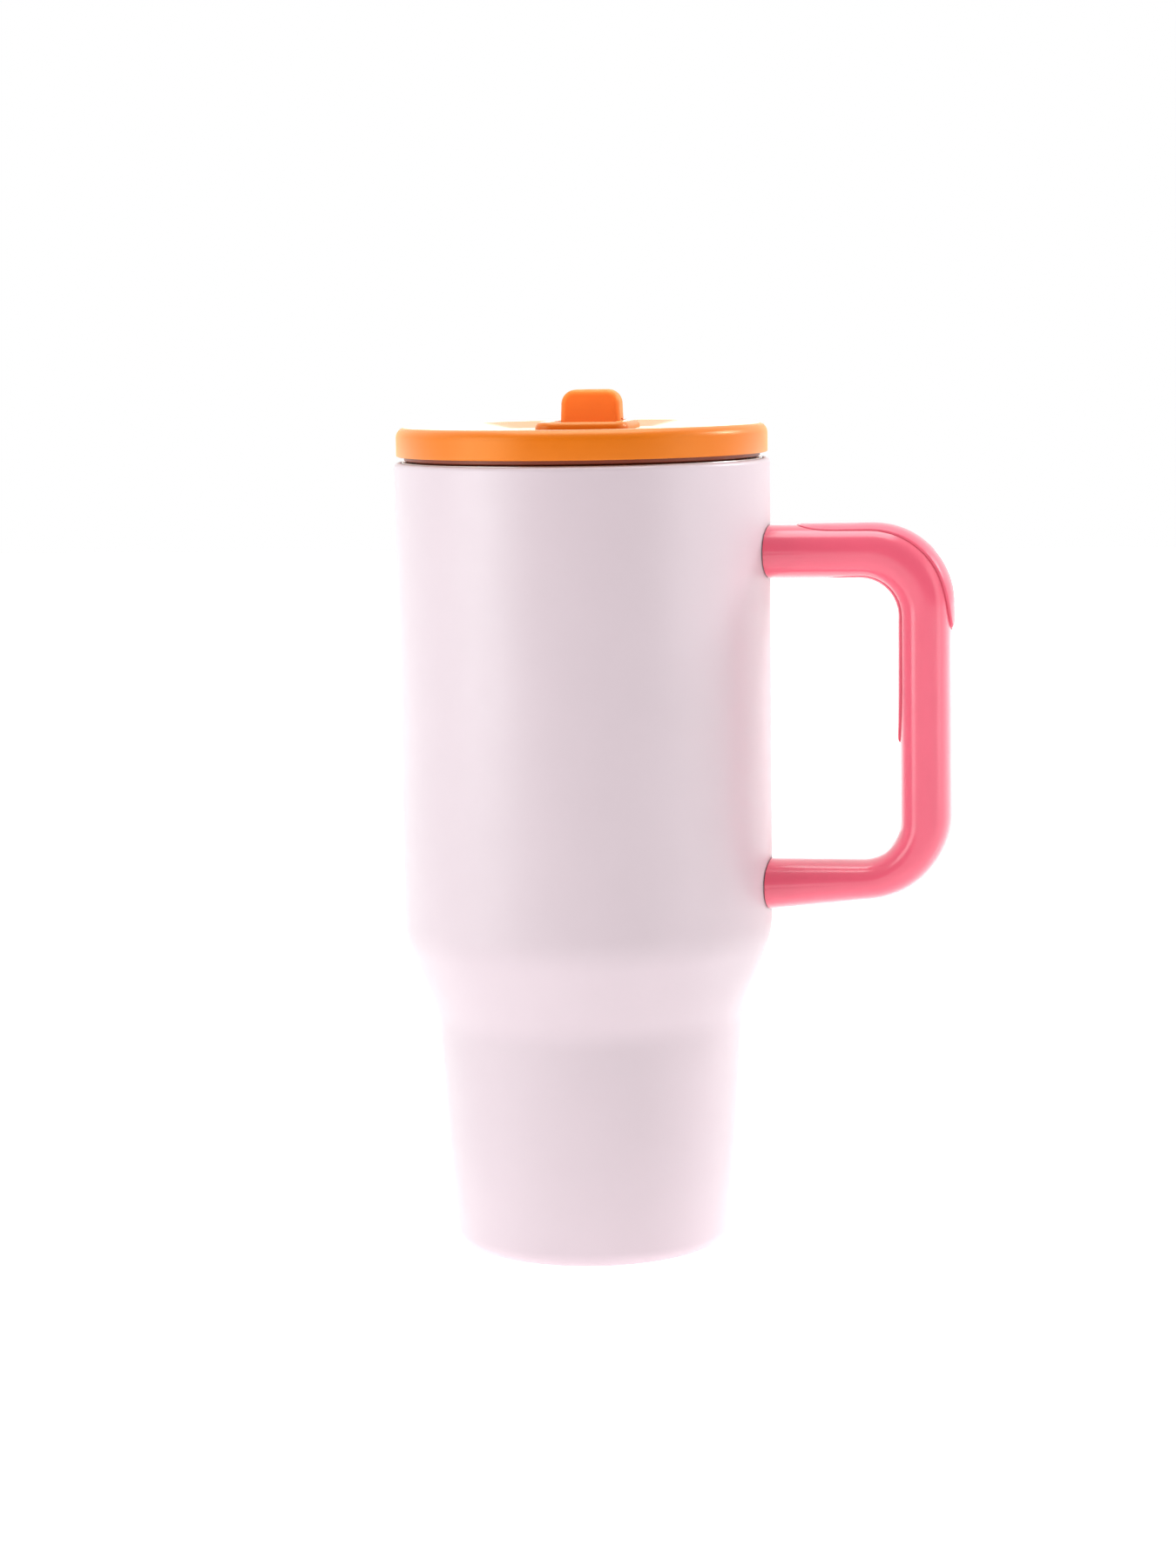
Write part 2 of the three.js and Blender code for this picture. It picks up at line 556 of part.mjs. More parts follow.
// Soft mouthpiece: a rounded tab pulled over the stem.
function mouthpiece() {
  const edge = 1.2;
  const low = SPOUT.seam + GAP / 2 + edge;
  const high = SPOUT.top - edge;
  const [wide, narrow] = [SPOUT.halfW - edge, SPOUT.topHalfW - edge];
  const outline = rounded([[-wide, low], [wide, low], [narrow, high, 2.4], [-narrow, high, 2.4]]);
  const shape = new THREE.Shape(outline.map(([x, z]) => new THREE.Vector2(x, z)));
  const tab = solid(new THREE.ExtrudeGeometry(shape, {
    depth: 2 * (SPOUT.halfD - edge), bevelThickness: edge, bevelSize: edge, bevelSegments: 3,
  }).translate(0, 0, edge - SPOUT.halfD).rotateX(Math.PI / 2));
  const pocket = box(-STEM.halfW - GAP, STEM.halfW + GAP, -STEM.halfD - GAP, STEM.halfD + GAP,
    0, STEM.top + GAP);
  const hubRoom = crossRod(SPOUT.hubR + GAP, 2 * SPOUT.halfW, 32);
  return tab.subtract(pocket).subtract(hubRoom).subtract(cylinder(SPOUT.boreR, 0, 14, 16));
}

// ---------------------------------------------------------------- assembly

const tumbler = new THREE.Group();
tumbler.add(piece('outer_shell', outerShell(), powderCoat));
tumbler.add(piece('inner_liner', innerLiner(), steel));
tumbler.add(...foot(), ...handleParts());

const spout = new THREE.Group();
spout.position.set(0, PIVOT.y, PIVOT.z);
spout.add(piece('spout_core', spoutCore(), lidPlastic));
spout.add(piece('mouthpiece', mouthpiece(), spoutSilicone));

const lid = new THREE.Group();
lid.add(...lidParts(), spout);

const assembly = new THREE.Group();
assembly.add(tumbler, lid);

export default assembly;
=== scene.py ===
"""Looks for an insulated tumbler with a side handle, a push-in lid and a flip-up straw spout.

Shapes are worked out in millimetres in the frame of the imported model: +Z up, the handle along +X,
the spout behind the centre. The fine pieces here stand for the faceted nodes of the same names.
"""

import math

import bmesh
import bpy
from mathutils import Matrix, Vector


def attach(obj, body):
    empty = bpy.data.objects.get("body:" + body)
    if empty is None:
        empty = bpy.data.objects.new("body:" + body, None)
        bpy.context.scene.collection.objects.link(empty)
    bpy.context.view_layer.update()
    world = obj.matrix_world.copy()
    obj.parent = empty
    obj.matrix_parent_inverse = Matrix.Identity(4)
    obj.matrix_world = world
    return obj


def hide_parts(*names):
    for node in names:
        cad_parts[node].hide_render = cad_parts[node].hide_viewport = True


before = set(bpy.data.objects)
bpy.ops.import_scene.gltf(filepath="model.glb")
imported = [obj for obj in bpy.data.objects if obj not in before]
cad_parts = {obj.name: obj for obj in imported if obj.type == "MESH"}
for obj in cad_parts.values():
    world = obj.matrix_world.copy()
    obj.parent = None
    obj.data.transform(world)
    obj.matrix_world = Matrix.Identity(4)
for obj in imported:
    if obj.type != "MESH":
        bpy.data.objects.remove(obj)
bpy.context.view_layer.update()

MM = 0.001
GAP = 0.3  # clearance between two pieces that touch on the real object
TURN = 2 * math.pi
QUARTER = math.pi / 2
ARC = 8  # steps of a rounded corner
FINE = 160  # sides of a large turned piece
MEDIUM = 64  # sides of the straw, its sleeve and the spout's hub
SMALL = 48  # sides of a bore and of a small turned piece
TINY = 32  # sides of the air hole
CREASE, SOFT_CREASE = 35, 50  # two faces that meet at more degrees than this have a sharp edge

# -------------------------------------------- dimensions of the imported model, with finer edges and bends

TIGHT, SHEET, CRISP, EASED, SOFT = 0.2, 0.25, 0.3, 0.4, 0.5  # radii of small edges

SHELL_WALL, LINER_WALL, VACUUM = 0.6, 0.5, 2.2
FOOT_R, FOOT_FOLD, SHELL_BASE, BASE_EDGE = 32, 3.1, 0.4, 4.5
BASE_R, KNEE_R, KNEE_Z, WAIST_FILLET = 37.2, 41.4, 63.6, 24
BODY_R, SHOULDER_Z, TOP_R, TOP_EDGE = 50, 86.1, 50.5, 1.2
SHELL_TOP, RIM_TOP, RIM_R, RIM_FLARE, RIM_NECK = 213.9, 214.1, 48.5, 212, 210.6
LINER_FLOOR, LINER_CORNER = 7.4, 9
COVER_R, COVER_LOW, COVER_TOP = 31.6, 1.9, 2.8
PAD_R, PAD_TOP = 31.5, 1.6

LID_R, LID_BOTTOM, LID_TOP, LID_WALL, LID_EDGE = 49.9, 215.5, 223.3, 1.8, 2.7
LID_DISH, DISH_R, DISH_FILLET, CREST_R, CREST_FILLET = 221.5, 29, 60, 46, 12
PLUG_R, PLUG_BOTTOM, PLUG_WALL, PLUG_FLOOR, PLUG_EDGE = 44.3, 204, 1.7, 1.6, 2
FLANGE_R, FLANGE_BOTTOM, FLANGE_TOP = 47.8, 214.4, 217.1
GROOVE_R, GROOVE_LOW, GROOVE_HIGH, GASKET_R = 43.4, 206.6, 212.4, 46.8
VENT_Y, VENT_R, VENT_FLARE, VALVE_HOLE_R = -24, 1, 0.4, 1.3
VALVE_LOW, VALVE_TOP = 202.4, 208

PIVOT_Y, PIVOT_Z = 18, 219.4
TAB_HALF_W, TAB_TOP_W, TAB_HALF_D, TAB_TOP, TAB_SEAM = 8.3, 7.9, 4.2, 12.9, 2.65
TAB_EDGE, TAB_FOOT_CORNER, TAB_TOP_CORNER, BORE_LIP = 1.7, 1.9, 3.9, 0.7
TAB_STEPS, TAB_ARC = 10, 12  # steps of the tab's edge and of its corners
HUB_R, SPOUT_BORE, STEM_W, STEM_D, STEM_TOP = 4.8, 2.1, 4.7, 3, 10.2
TRUNNION_R, TRUNNION_REACH = 1.8, 9.9
SEAL_R, SEAL_BOTTOM = 4.6, 213.2
PLINTH_W, PLINTH_FRONT, PLINTH_BACK, PLINTH_BOTTOM, PLINTH_TOP = 12.75, -4, 25, 221.8, 224
PLINTH_CORNER, PLINTH_EDGE = 5, 1.5
CHANNEL_W, CHANNEL_FRONT, CHANNEL_BACK, CHANNEL_FLOOR, CHANNEL_LEDGE = 8.8, 4, 23.1, 214.3, 219
CHANNEL_CORNER, CHANNEL_LIP = 0.7, 0.45
RAMP_TOP_Y, RAMP_TOP_Z = -1.2, 225
WELL_W, WELL_FRONT, WELL_BACK, WELL_BOTTOM, WELL_CORNER = 11.3, -3.2, 24.4, 212.4, 4
UNDERCUT_Y, UNDERCUT_Z, UNDERCUT_FRONT = 2, 217.4, -4.2
PORT_R, PORT_BORE, PORT_BOTTOM, PORT_SEAL_W = 4.4, 2.8, 196.5, 1.5
STRAW_R, STRAW_BOTTOM, STRAW_TOP = 4, 14, 193.7
ADAPTER_R, ADAPTER_TOP, ADAPTER_BOTTOM, ADAPTER_LEDGE = 6, 203.4, 182, 194.2

# the heel is the sloping underside of the lower arm
HANDLE_OUT_X, HANDLE_IN_X, HANDLE_HALF_W = 99.1, 85.3, 10
ARM_TOP, ARM_UNDER, LOW_ARM_TOP, HEEL_Z, HEEL_SLOPE = 196.2, 181.9, 106.3, 92.55, 0.107
OUT_R, IN_R, OUT_LOW_R, IN_LOW_R = 21.2, 10.2, 23.8, 10.6
SKIN_POWER, ARM_START_X, ARM_GAP = 2.4, 44, 0.35
GRIP_DEPTH, GRIP_TAPER = 1, 0.3  # depth of a pad's recess in millimetres, length of its points in stations
BRACKET_W, BRACKET_END, BRACKET_H, LOW_BRACKET_H = 5.5, 69, 3.2, 2.6
BRACKET_DROP, LOW_BRACKET_RISE = 0.9, 1.1  # offset of each bracket from the middle of its arm
SCREW_X, SCREW_R, SCREW_HEAD_R, SCREW_HEAD = 64, 1.25, 2.8, 1.1
SCREW_SINK, LOW_SCREW_SINK, CAP_HEIGHT = 0.15, 1.6, 1.35

# ---------------------------------------------------------------- mesh building


def shape(name, vertices, faces):
    """A closed mesh in millimetres as an object, its faces pointing out."""
    mesh = bpy.data.meshes.new(name)
    mesh.from_pydata([Vector(v) * MM for v in vertices], [], faces)
    work = bmesh.new()
    work.from_mesh(mesh)
    bmesh.ops.remove_doubles(work, verts=work.verts, dist=1e-7)
    bmesh.ops.recalc_face_normals(work, faces=work.faces)
    work.to_mesh(mesh)
    work.free()
    result = bpy.data.objects.new(name, mesh)
    bpy.context.scene.collection.objects.link(result)
    return result


def skinned(name, rows, across=True, around=False):
    """A skin over rows of points.

    Each row is a ring if across is set. The last row joins the first if around is set, and otherwise
    the first and last rows are capped.
    """
    width, count = len(rows[0]), len(rows)
    faces = []
    for i in range(count if around else count - 1):
        for j in range(width if across else width - 1):
            a, b = i * width + j, i * width + (j + 1) % width
            shift = ((i + 1) % count - i) * width
            faces.append((a, b, b + shift, a + shift))
    if not around:
        faces += [tuple(range(width)), tuple(range((count - 1) * width, count * width))]
    return shape(name, [point for row in rows for point in row], faces)


def spun(name, profile, sides, place):
    """A skin round an axis: place puts each point of the profile at a cosine and sine."""
    rows = []
    for k in range(sides):
        c, s = math.cos(TURN * k / sides), math.sin(TURN * k / sides)
        rows.append([place(r, along, c, s) for r, along in profile])
    return skinned(name, rows, across=profile[0][0] > 0, around=True)


def turned(name, profile, sides=FINE, x=0.0, y=0.0):
    """A round piece about a vertical axis from an outline of (radius, height) points."""
    return spun(name, profile, sides, lambda r, z, c, s: (x + r * c, y + r * s, z))


def rod(name, profile, sides=SMALL):
    """A round piece about the spout's axis, along X, from an outline of (radius, x) points."""
    return spun(name, profile, sides, lambda r, x, c, s: (x, PIVOT_Y + r * c, PIVOT_Z + r * s))


def cross_rod(r, half_length):
    return rod("rod", [(0, -half_length), (r, -half_length), (r, half_length), (0, half_length)])


def cylinder(r, low, high, x=0.0, y=0.0):
    return turned("cylinder", [(0, low), (r, low), (r, high), (0, high)], SMALL, x, y)


def block(x0, x1, y0, y1, z0, z1):
    rings = [[(x0, y0, z), (x1, y0, z), (x1, y1, z), (x0, y1, z)] for z in (z0, z1)]
    return skinned("block", rings)


def rounded(corners, steps=ARC):
    """An outline of (x, y, radius) corners in which every corner that has a radius becomes an arc."""
    points = []
    for i, (x, y, *radius) in enumerate(corners):
        if not radius or not radius[0]:
            points.append((x, y))
            continue
        here = Vector((x, y))
        back = (Vector(corners[i - 1][:2]) - here).normalized()
        ahead = (Vector(corners[(i + 1) % len(corners)][:2]) - here).normalized()
        half = back.angle(ahead) / 2
        centre = here + (back + ahead).normalized() * (radius[0] / math.sin(half))
        start = here + back * (radius[0] / math.tan(half)) - centre
        end = here + ahead * (radius[0] / math.tan(half)) - centre
        turn = math.atan2(start.x * end.y - start.y * end.x, start.dot(end))
        for k in range(steps + 1):
            c, s = math.cos(turn * k / steps), math.sin(turn * k / steps)
            points.append((centre.x + start.x * c - start.y * s, centre.y + start.x * s + start.y * c))
    return points


def inset(corners, distance):
    """The same open outline moved to its left by a distance."""
    lines = []
    for (x0, y0, *_), (x1, y1, *_) in zip(corners, corners[1:]):
        along = Vector((x1 - x0, y1 - y0)).normalized()
        shift = Vector((-along.y, along.x)) * distance
        lines.append((Vector((x0, y0)) + shift, along, shift))
    moved = [tuple(lines[0][0])]
    for (start, along, _), (next_start, next_along, _), corner in zip(lines, lines[1:], corners[1:]):
        bend = along.cross(next_along)
        point = start + along * ((next_start - start).cross(next_along) / bend)
        radius = corner[2] - math.copysign(distance, bend) if len(corner) > 2 else 0
        moved.append((point.x, point.y, radius))
    last = Vector(corners[-1][:2]) + lines[-1][2]
    return moved + [tuple(last)]


def quarter_steps(steps):
    """Angles from 0 to a quarter turn."""
    return [QUARTER * k / steps for k in range(steps + 1)]


def round_rect(x, y0, y1, corner, z):
    """A ring at height z from -x to x and from y0 to y1."""
    corners = [(-x, y0, corner), (x, y0, corner), (x, y1, corner), (-x, y1, corner)]
    return [(px, py, z) for px, py in rounded(corners)]


def combine(target, tools, operation="DIFFERENCE", solver="MANIFOLD"):
    """The target with the tools cut away from it, or joined to it. The tools are used up."""
    for tool in tools:
        modifier = target.modifiers.new("combine", "BOOLEAN")
        modifier.operation, modifier.solver, modifier.object = operation, solver, tool
        made = bpy.data.meshes.new_from_object(
            target.evaluated_get(bpy.context.evaluated_depsgraph_get())
        )
        target.modifiers.clear()
        target.data = made
        bpy.data.objects.remove(tool)
    return target


def finished(target, node, body, look, crease=CREASE):
    """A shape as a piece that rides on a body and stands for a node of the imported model."""
    target.name = target.data.name = node + "_fine"
    target.data.shade_smooth()
    target.data.set_sharp_from_angle(angle=math.radians(crease))
    target.data.materials.clear()
    target.data.materials.append(look)
    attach(target, body)
    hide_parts(node)


# ---------------------------------------------------------------- finishes

NOISE_LOW, NOISE_HIGH = 0.3, 0.7  # nearly all of a noise's values are between these


def colour(red, green, blue):
    """Linear colour with alpha from sRGB values of 0 to 255."""
    def linear(value):
        value /= 255
        return value / 12.92 if value <= 0.04045 else ((value + 0.055) / 1.055) ** 2.4

    return (linear(red), linear(green), linear(blue), 1.0)


def map_range(nodes, start, end, low, high, interpolation="SMOOTHSTEP"):
    """A node that goes from low to high as its value goes from start to end."""
    node = nodes.new("ShaderNodeMapRange")
    node.interpolation_type = interpolation
    for socket, value in zip(node.inputs[1:5], (start, end, low, high)):
        socket.default_value = value
    return node


class Finish:
    """A node material whose layers are noise in the object's own space."""

    def __init__(self, name, base, roughness, metallic=0.0):
        self.material = bpy.data.materials.new(name)
        self.material.use_nodes = True
        self.nodes = self.material.node_tree.nodes
        self.links = self.material.node_tree.links
        self.shader = self.nodes["Principled BSDF"]
        self.shader.inputs["Metallic"].default_value = metallic
        self.base, self.roughness = base, roughness
        self.place = self.nodes.new("ShaderNodeTexCoord").outputs["Object"]
        self.normal = None

    def noise(self, size, detail=2.0, stretch=(1.0, 1.0, 1.0)):
        """Noise whose grains are about size millimetres across."""
        mapping = self.nodes.new("ShaderNodeMapping")
        mapping.inputs["Scale"].default_value = [1 / (size * MM * k) for k in stretch]
        texture = self.nodes.new("ShaderNodeTexNoise")
        texture.inputs["Scale"].default_value = 1.0
        texture.inputs["Detail"].default_value = detail
        self.links.new(self.place, mapping.inputs["Vector"])
        self.links.new(mapping.outputs["Vector"], texture.inputs["Vector"])
        return texture.outputs["Fac"]

    def spread(self, source, low, high):
        """The middle of a noise's values spread from low to high."""
        node = map_range(self.nodes, NOISE_LOW, NOISE_HIGH, low, high, "LINEAR")
        self.links.new(source, node.inputs["Value"])
        return node.outputs["Result"]

    def mottle(self, source, amount):
        """Varies the base colour's brightness by amount either way."""
        node = self.nodes.new("ShaderNodeMix")
        node.data_type = "RGBA"
        for socket, gain in ((node.inputs[6], 1 - amount), (node.inputs[7], 1 + amount)):
            socket.default_value = [min(1, c * gain) for c in self.base[:3]] + [1]
        self.links.new(self.spread(source, 0, 1), node.inputs[0])
        self.links.new(node.outputs[2], self.shader.inputs["Base Color"])

    def worn(self, source, amount):
        """Varies the roughness by amount either way."""
        low, high = self.roughness - amount, self.roughness + amount
        self.links.new(self.spread(source, low, high), self.shader.inputs["Roughness"])

    def bump(self, source, depth):
        """Relief of depth millimetres, on top of the relief so far."""
        node = self.nodes.new("ShaderNodeBump")
        node.inputs["Distance"].default_value = depth * MM
        node.inputs["Strength"].default_value = 1.0
        self.links.new(source, node.inputs["Height"])
        if self.normal:
            self.links.new(self.normal, node.inputs["Normal"])
        self.normal = node.outputs["Normal"]
        self.links.new(self.normal, self.shader.inputs["Normal"])

    def set(self, **values):
        """Sets the shader's own sockets, named with _ for each space."""
        for name, value in values.items():
            self.shader.inputs[name.replace("_", " ")].default_value = value
        return self


def powder_coat():
    finish = Finish("powder_coat", colour(214, 192, 201), 0.4)
    finish.mottle(finish.noise(size=26), amount=0.012)
    finish.worn(finish.noise(size=5, detail=4), amount=0.04)
    finish.bump(finish.noise(size=1.6), depth=0.012)
    finish.bump(finish.noise(size=0.3, detail=3), depth=0.014)
    return finish.set(Sheen_Weight=0.3, Sheen_Roughness=0.5, Specular_IOR_Level=1.0).material


def brushed_steel():
    """Steel with fine lines that run round the axis."""
    finish = Finish("brushed_steel", colour(232, 232, 233), 0.3, metallic=1.0)
    lines = finish.noise(size=0.16, detail=3, stretch=(120, 120, 1))
    finish.mottle(lines, amount=0.04)
    finish.worn(finish.noise(size=30, detail=1), amount=0.03)
    finish.bump(lines, depth=0.003)
    return finish.material


def stamped_steel():
    finish = Finish("stamped_steel", colour(188, 189, 190), 0.38, metallic=1.0)
    finish.mottle(finish.noise(size=4, detail=4), amount=0.1)
    finish.worn(finish.noise(size=2, detail=3), amount=0.1)
    finish.bump(finish.noise(size=0.4, detail=3), depth=0.01)
    return finish.material


def screw_steel():
    finish = Finish("screw_steel", colour(200, 198, 194), 0.25, metallic=1.0)
    finish.mottle(finish.noise(size=0.8, detail=3), amount=0.12)
    finish.worn(finish.noise(size=0.5), amount=0.1)
    finish.bump(finish.noise(size=0.2), depth=0.005)
    return finish.material


def sintered_metal():
    finish = Finish("sintered_metal", colour(104, 105, 110), 0.62, metallic=0.9)
    finish.mottle(finish.noise(size=0.5, detail=4), amount=0.3)
    finish.worn(finish.noise(size=0.4), amount=0.15)
    finish.bump(finish.noise(size=0.3, detail=4), depth=0.06)
    return finish.material


def moulded(name, base, roughness, wave=0.006):
    """Moulded plastic: slight flow marks and a soft waviness."""
    finish = Finish(name, base, roughness)
    finish.mottle(finish.noise(size=18, detail=3), amount=0.02)
    finish.worn(finish.noise(size=6), amount=0.03)
    finish.bump(finish.noise(size=9, detail=1), depth=wave)
    return finish


def rubber(name, base, roughness, grain=0.02):
    """Soft rubber or silicone with a fine matt grain."""
    finish = Finish(name, base, roughness)
    finish.mottle(finish.noise(size=7, detail=4), amount=0.03)
    finish.worn(finish.noise(size=3, detail=3), amount=0.05)
    finish.bump(finish.noise(size=0.5, detail=3), depth=grain)
    return finish


def handle_plastic():
    finish = moulded("handle_plastic", colour(243, 94, 120), 0.22)
    return finish.set(Coat_Weight=0.5, Coat_Roughness=0.18, Sheen_Weight=0.6, Sheen_Roughness=0.35).material


def grip_rubber():
    finish = rubber("grip_rubber", colour(241, 95, 121), 0.35)
    return finish.set(Sheen_Weight=0.5, Sheen_Roughness=0.35).material


def lid_plastic():
    """Satin orange plastic. Its level faces are smoother, and mirror the room at a low angle."""
    finish = moulded("lid_plastic", colour(228, 112, 6), 0.33, wave=0.002)
    tilted, level, polished = 0.95, 0.998, 0.04
    satin = finish.shader.inputs["Roughness"].links[0].from_socket
    facing = finish.nodes.new("ShaderNodeNewGeometry")
    parts = finish.nodes.new("ShaderNodeSeparateXYZ")
    levelness = map_range(finish.nodes, tilted, level, 0, 1)
    roughness = finish.nodes.new("ShaderNodeMix")
    roughness.inputs["B"].default_value = polished
    finish.links.new(facing.outputs["Normal"], parts.inputs["Vector"])
    finish.links.new(parts.outputs["Z"], levelness.inputs["Value"])
    finish.links.new(levelness.outputs["Result"], roughness.inputs["Factor"])
    finish.links.new(satin, roughness.inputs["A"])
    finish.links.new(roughness.outputs["Result"], finish.shader.inputs["Roughness"])
    finish.set(Coat_Weight=0.3, Coat_Roughness=0.38, Specular_Tint=(1, 0.75, 0.25, 1))
    return finish.set(Sheen_Weight=0.6, Sheen_Roughness=0.35, Sheen_Tint=(1, 0.75, 0.2, 1)).material


def spout_silicone():
    """Soft orange silicone. Its weak glow stands for the light that comes through the tab."""
    finish = rubber("spout_silicone", colour(255, 130, 50), 0.4, grain=0.008)
    finish.set(Emission_Color=(1, 0.2, 0.05, 1), Emission_Strength=0.17, Specular_Tint=(1, 0.6, 0.2, 1))
    return finish.set(Sheen_Weight=1.0, Sheen_Roughness=0.3, Sheen_Tint=(1, 0.6, 0.15, 1)).material


def milky(finish):
    """The material of a finish that light enters a little way."""
    return finish.set(
        Subsurface_Weight=0.3, Subsurface_Radius=(1.0, 0.9, 0.8), Subsurface_Scale=0.001
    ).material


POWDER_COAT = powder_coat()
LINER_STEEL = brushed_steel()
PLATE_STEEL = stamped_steel()
SCREW_STEEL = screw_steel()
GETTER_METAL = sintered_metal()
HANDLE_PLASTIC = handle_plastic()
GRIP_RUBBER = grip_rubber()
LID_PLASTIC = lid_plastic()
# The inner lid's dark red-brown is painted shade: it makes the gap under the lid read dark, and the plug's
# real colour is not known.
LID_INNER_PAINTED_SHADE = moulded("lid_inner_plastic", colour(146, 56, 20), 0.42).material
SPOUT_SILICONE = spout_silicone()
SEAL_SILICONE = milky(rubber("seal_silicone", colour(240, 236, 232), 0.5, grain=0.01))
STRAW_PLASTIC = milky(moulded("straw_plastic", colour(247, 240, 234), 0.22, wave=0.002))
FOOT_RUBBER = rubber("foot_rubber", colour(214, 196, 206), 0.65, grain=0.03).material

# ---------------------------------------------------------------- steel body

# outside of the shell, from the folded foot ring to the edge beside the drinking rim
BODY = [
    (FOOT_R, FOOT_FOLD), (FOOT_R, SHELL_BASE), (BASE_R, SHELL_BASE, BASE_EDGE),
    (KNEE_R, KNEE_Z, WAIST_FILLET), (BODY_R, SHOULDER_Z, WAIST_FILLET),
    (TOP_R, SHELL_TOP, TOP_EDGE), (RIM_R + GAP, SHELL_TOP),
]


def outer_shell():
    inside = inset(BODY, SHELL_WALL)[::-1]
    shell = turned("outer_shell", rounded(BODY) + rounded(inside))
    finished(shell, "outer_shell", "tumbler", POWDER_COAT)


def inner_liner():
    """The drinking cup. Its wall follows the shell at the width of the vacuum."""
    _, _, base, knee, shoulder, top, _ = inset(BODY, SHELL_WALL + VACUUM)
    slope = (knee[0] - base[0]) / (knee[1] - base[1])
    floor_r = base[0] + slope * (LINER_FLOOR - base[1])
    outside = [
        (0, LINER_FLOOR), (floor_r, LINER_FLOOR, LINER_CORNER), knee, shoulder, (top[0], RIM_NECK),
    ]
    inside = inset(outside, LINER_WALL)
    floor = (0, LINER_FLOOR + LINER_WALL)
    mouth = (inside[-1][0], RIM_TOP, TIGHT)
    rim = [(RIM_R, RIM_FLARE), (RIM_R, RIM_TOP, SHEET)]
    profile = rounded(outside + rim + [mouth] + inside[-2:0:-1] + [floor])
    finished(turned("inner_liner", profile), "inner_liner", "tumbler", LINER_STEEL)


def base_cover():
    """Steel cap with a shallow ring pressed into its upper face."""
    ring_in, ring_out, slope, depth = 8, 26.4, 0.6, 0.25
    cover = turned("base_cover", rounded([
        (0, COVER_LOW), (COVER_R, COVER_LOW, SHEET), (COVER_R, COVER_TOP, SHEET),
        (ring_out + slope, COVER_TOP), (ring_out, COVER_TOP - depth),
        (ring_in, COVER_TOP - depth), (ring_in - slope, COVER_TOP), (0, COVER_TOP),
    ]))
    finished(cover, "base_cover", "tumbler", PLATE_STEEL)


def foot_pad():
    """Soft foot with round grooves in its underside."""
    grooves, half_width, depth, slope = (10, 16, 22, 28), 0.5, 0.3, 0.3
    underside = [(0, 0)]
    for r in grooves:
        underside += [(r - half_width, 0), (r - half_width + slope, depth)]
        underside += [(r + half_width - slope, depth), (r + half_width, 0)]
    pad = turned("foot_pad", rounded(underside + [(PAD_R, 0, SOFT), (PAD_R, PAD_TOP, CRISP), (0, PAD_TOP)]))
    finished(pad, "foot_pad", "tumbler", FOOT_RUBBER)


# ---------------------------------------------------------------- handle

STATION_STEPS = (8, 24, 14, 24, 8)  # steps of the upper arm, corner, grip, lower corner and lower arm
NEAREST = 0.004  # stations that are closer than this to an end are left out


def arc_point(x, z, r, angle):
    return Vector((x + r * math.cos(angle), 0, z + r * math.sin(angle)))


def handle_outline(s):
    """Outer and inner outline points at station s.

    0 to 1 is the upper arm, 1 to 2 the upper corner, 2 to 3 the grip, 3 to 4 the lower corner and
    4 to 5 the lower arm.
    """
    part = min(4, int(s))
    share = s - part
    heel_turn = QUARTER - math.atan(HEEL_SLOPE)
    low_x = HANDLE_OUT_X - OUT_LOW_R
    heel_start = HEEL_Z + HEEL_SLOPE * (low_x + OUT_LOW_R * math.cos(heel_turn) - BODY_R)
    low_z = heel_start + OUT_LOW_R * math.sin(heel_turn)

    def outer(bend):
        return arc_point(HANDLE_OUT_X - OUT_R, ARM_TOP - OUT_R, OUT_R, QUARTER * (1 - bend))

    def inner(bend):
        return arc_point(HANDLE_IN_X - IN_R, ARM_UNDER - IN_R, IN_R, QUARTER * (1 - bend))

    def outer_low(bend):
        return arc_point(low_x, low_z, OUT_LOW_R, -heel_turn * bend)

    def inner_low(bend):
        return arc_point(HANDLE_IN_X - IN_LOW_R, LOW_ARM_TOP + IN_LOW_R, IN_LOW_R, -QUARTER * bend)

    def arm_end(z):
        return Vector((ARM_START_X, 0, z))

    if part == 1:
        return outer(share), inner(share)
    if part == 3:
        return outer_low(share), inner_low(share)
    heel_end = arm_end(HEEL_Z + HEEL_SLOPE * (ARM_START_X - BODY_R))
    ends = {
        0: (arm_end(ARM_TOP), outer(0), arm_end(ARM_UNDER), inner(0)),
        2: (outer(1), outer_low(0), inner(1), inner_low(0)),
        4: (outer_low(1), heel_end, inner_low(1), arm_end(LOW_ARM_TOP)),
    }
    out_a, out_b, in_a, in_b = ends[part]
    return out_a.lerp(out_b, share), in_a.lerp(in_b, share)


def handle_skin(s, angle, lift=0.0):
    """A point on the handle's skin: angle 0 is the outer crest, half a turn is the inner crest."""
    outer, inner = handle_outline(s)
    centre = (outer + inner) / 2
    half = outer - centre

    def squash(value):
        return math.copysign(abs(value) ** (2 / SKIN_POWER), value)

    across = (HANDLE_HALF_W + lift) * squash(math.sin(angle))
    out = half.normalized() * (half.length + lift) * squash(math.cos(angle))
    return centre + out + Vector((0, across, 0))


def stations(low, high):
    """Stations between two ends, and the ends themselves."""
    inner = [part + k / count for part, count in enumerate(STATION_STEPS) for k in range(count)]
    return [low] + [s for s in inner if low + NEAREST < s < high - NEAREST] + [high]


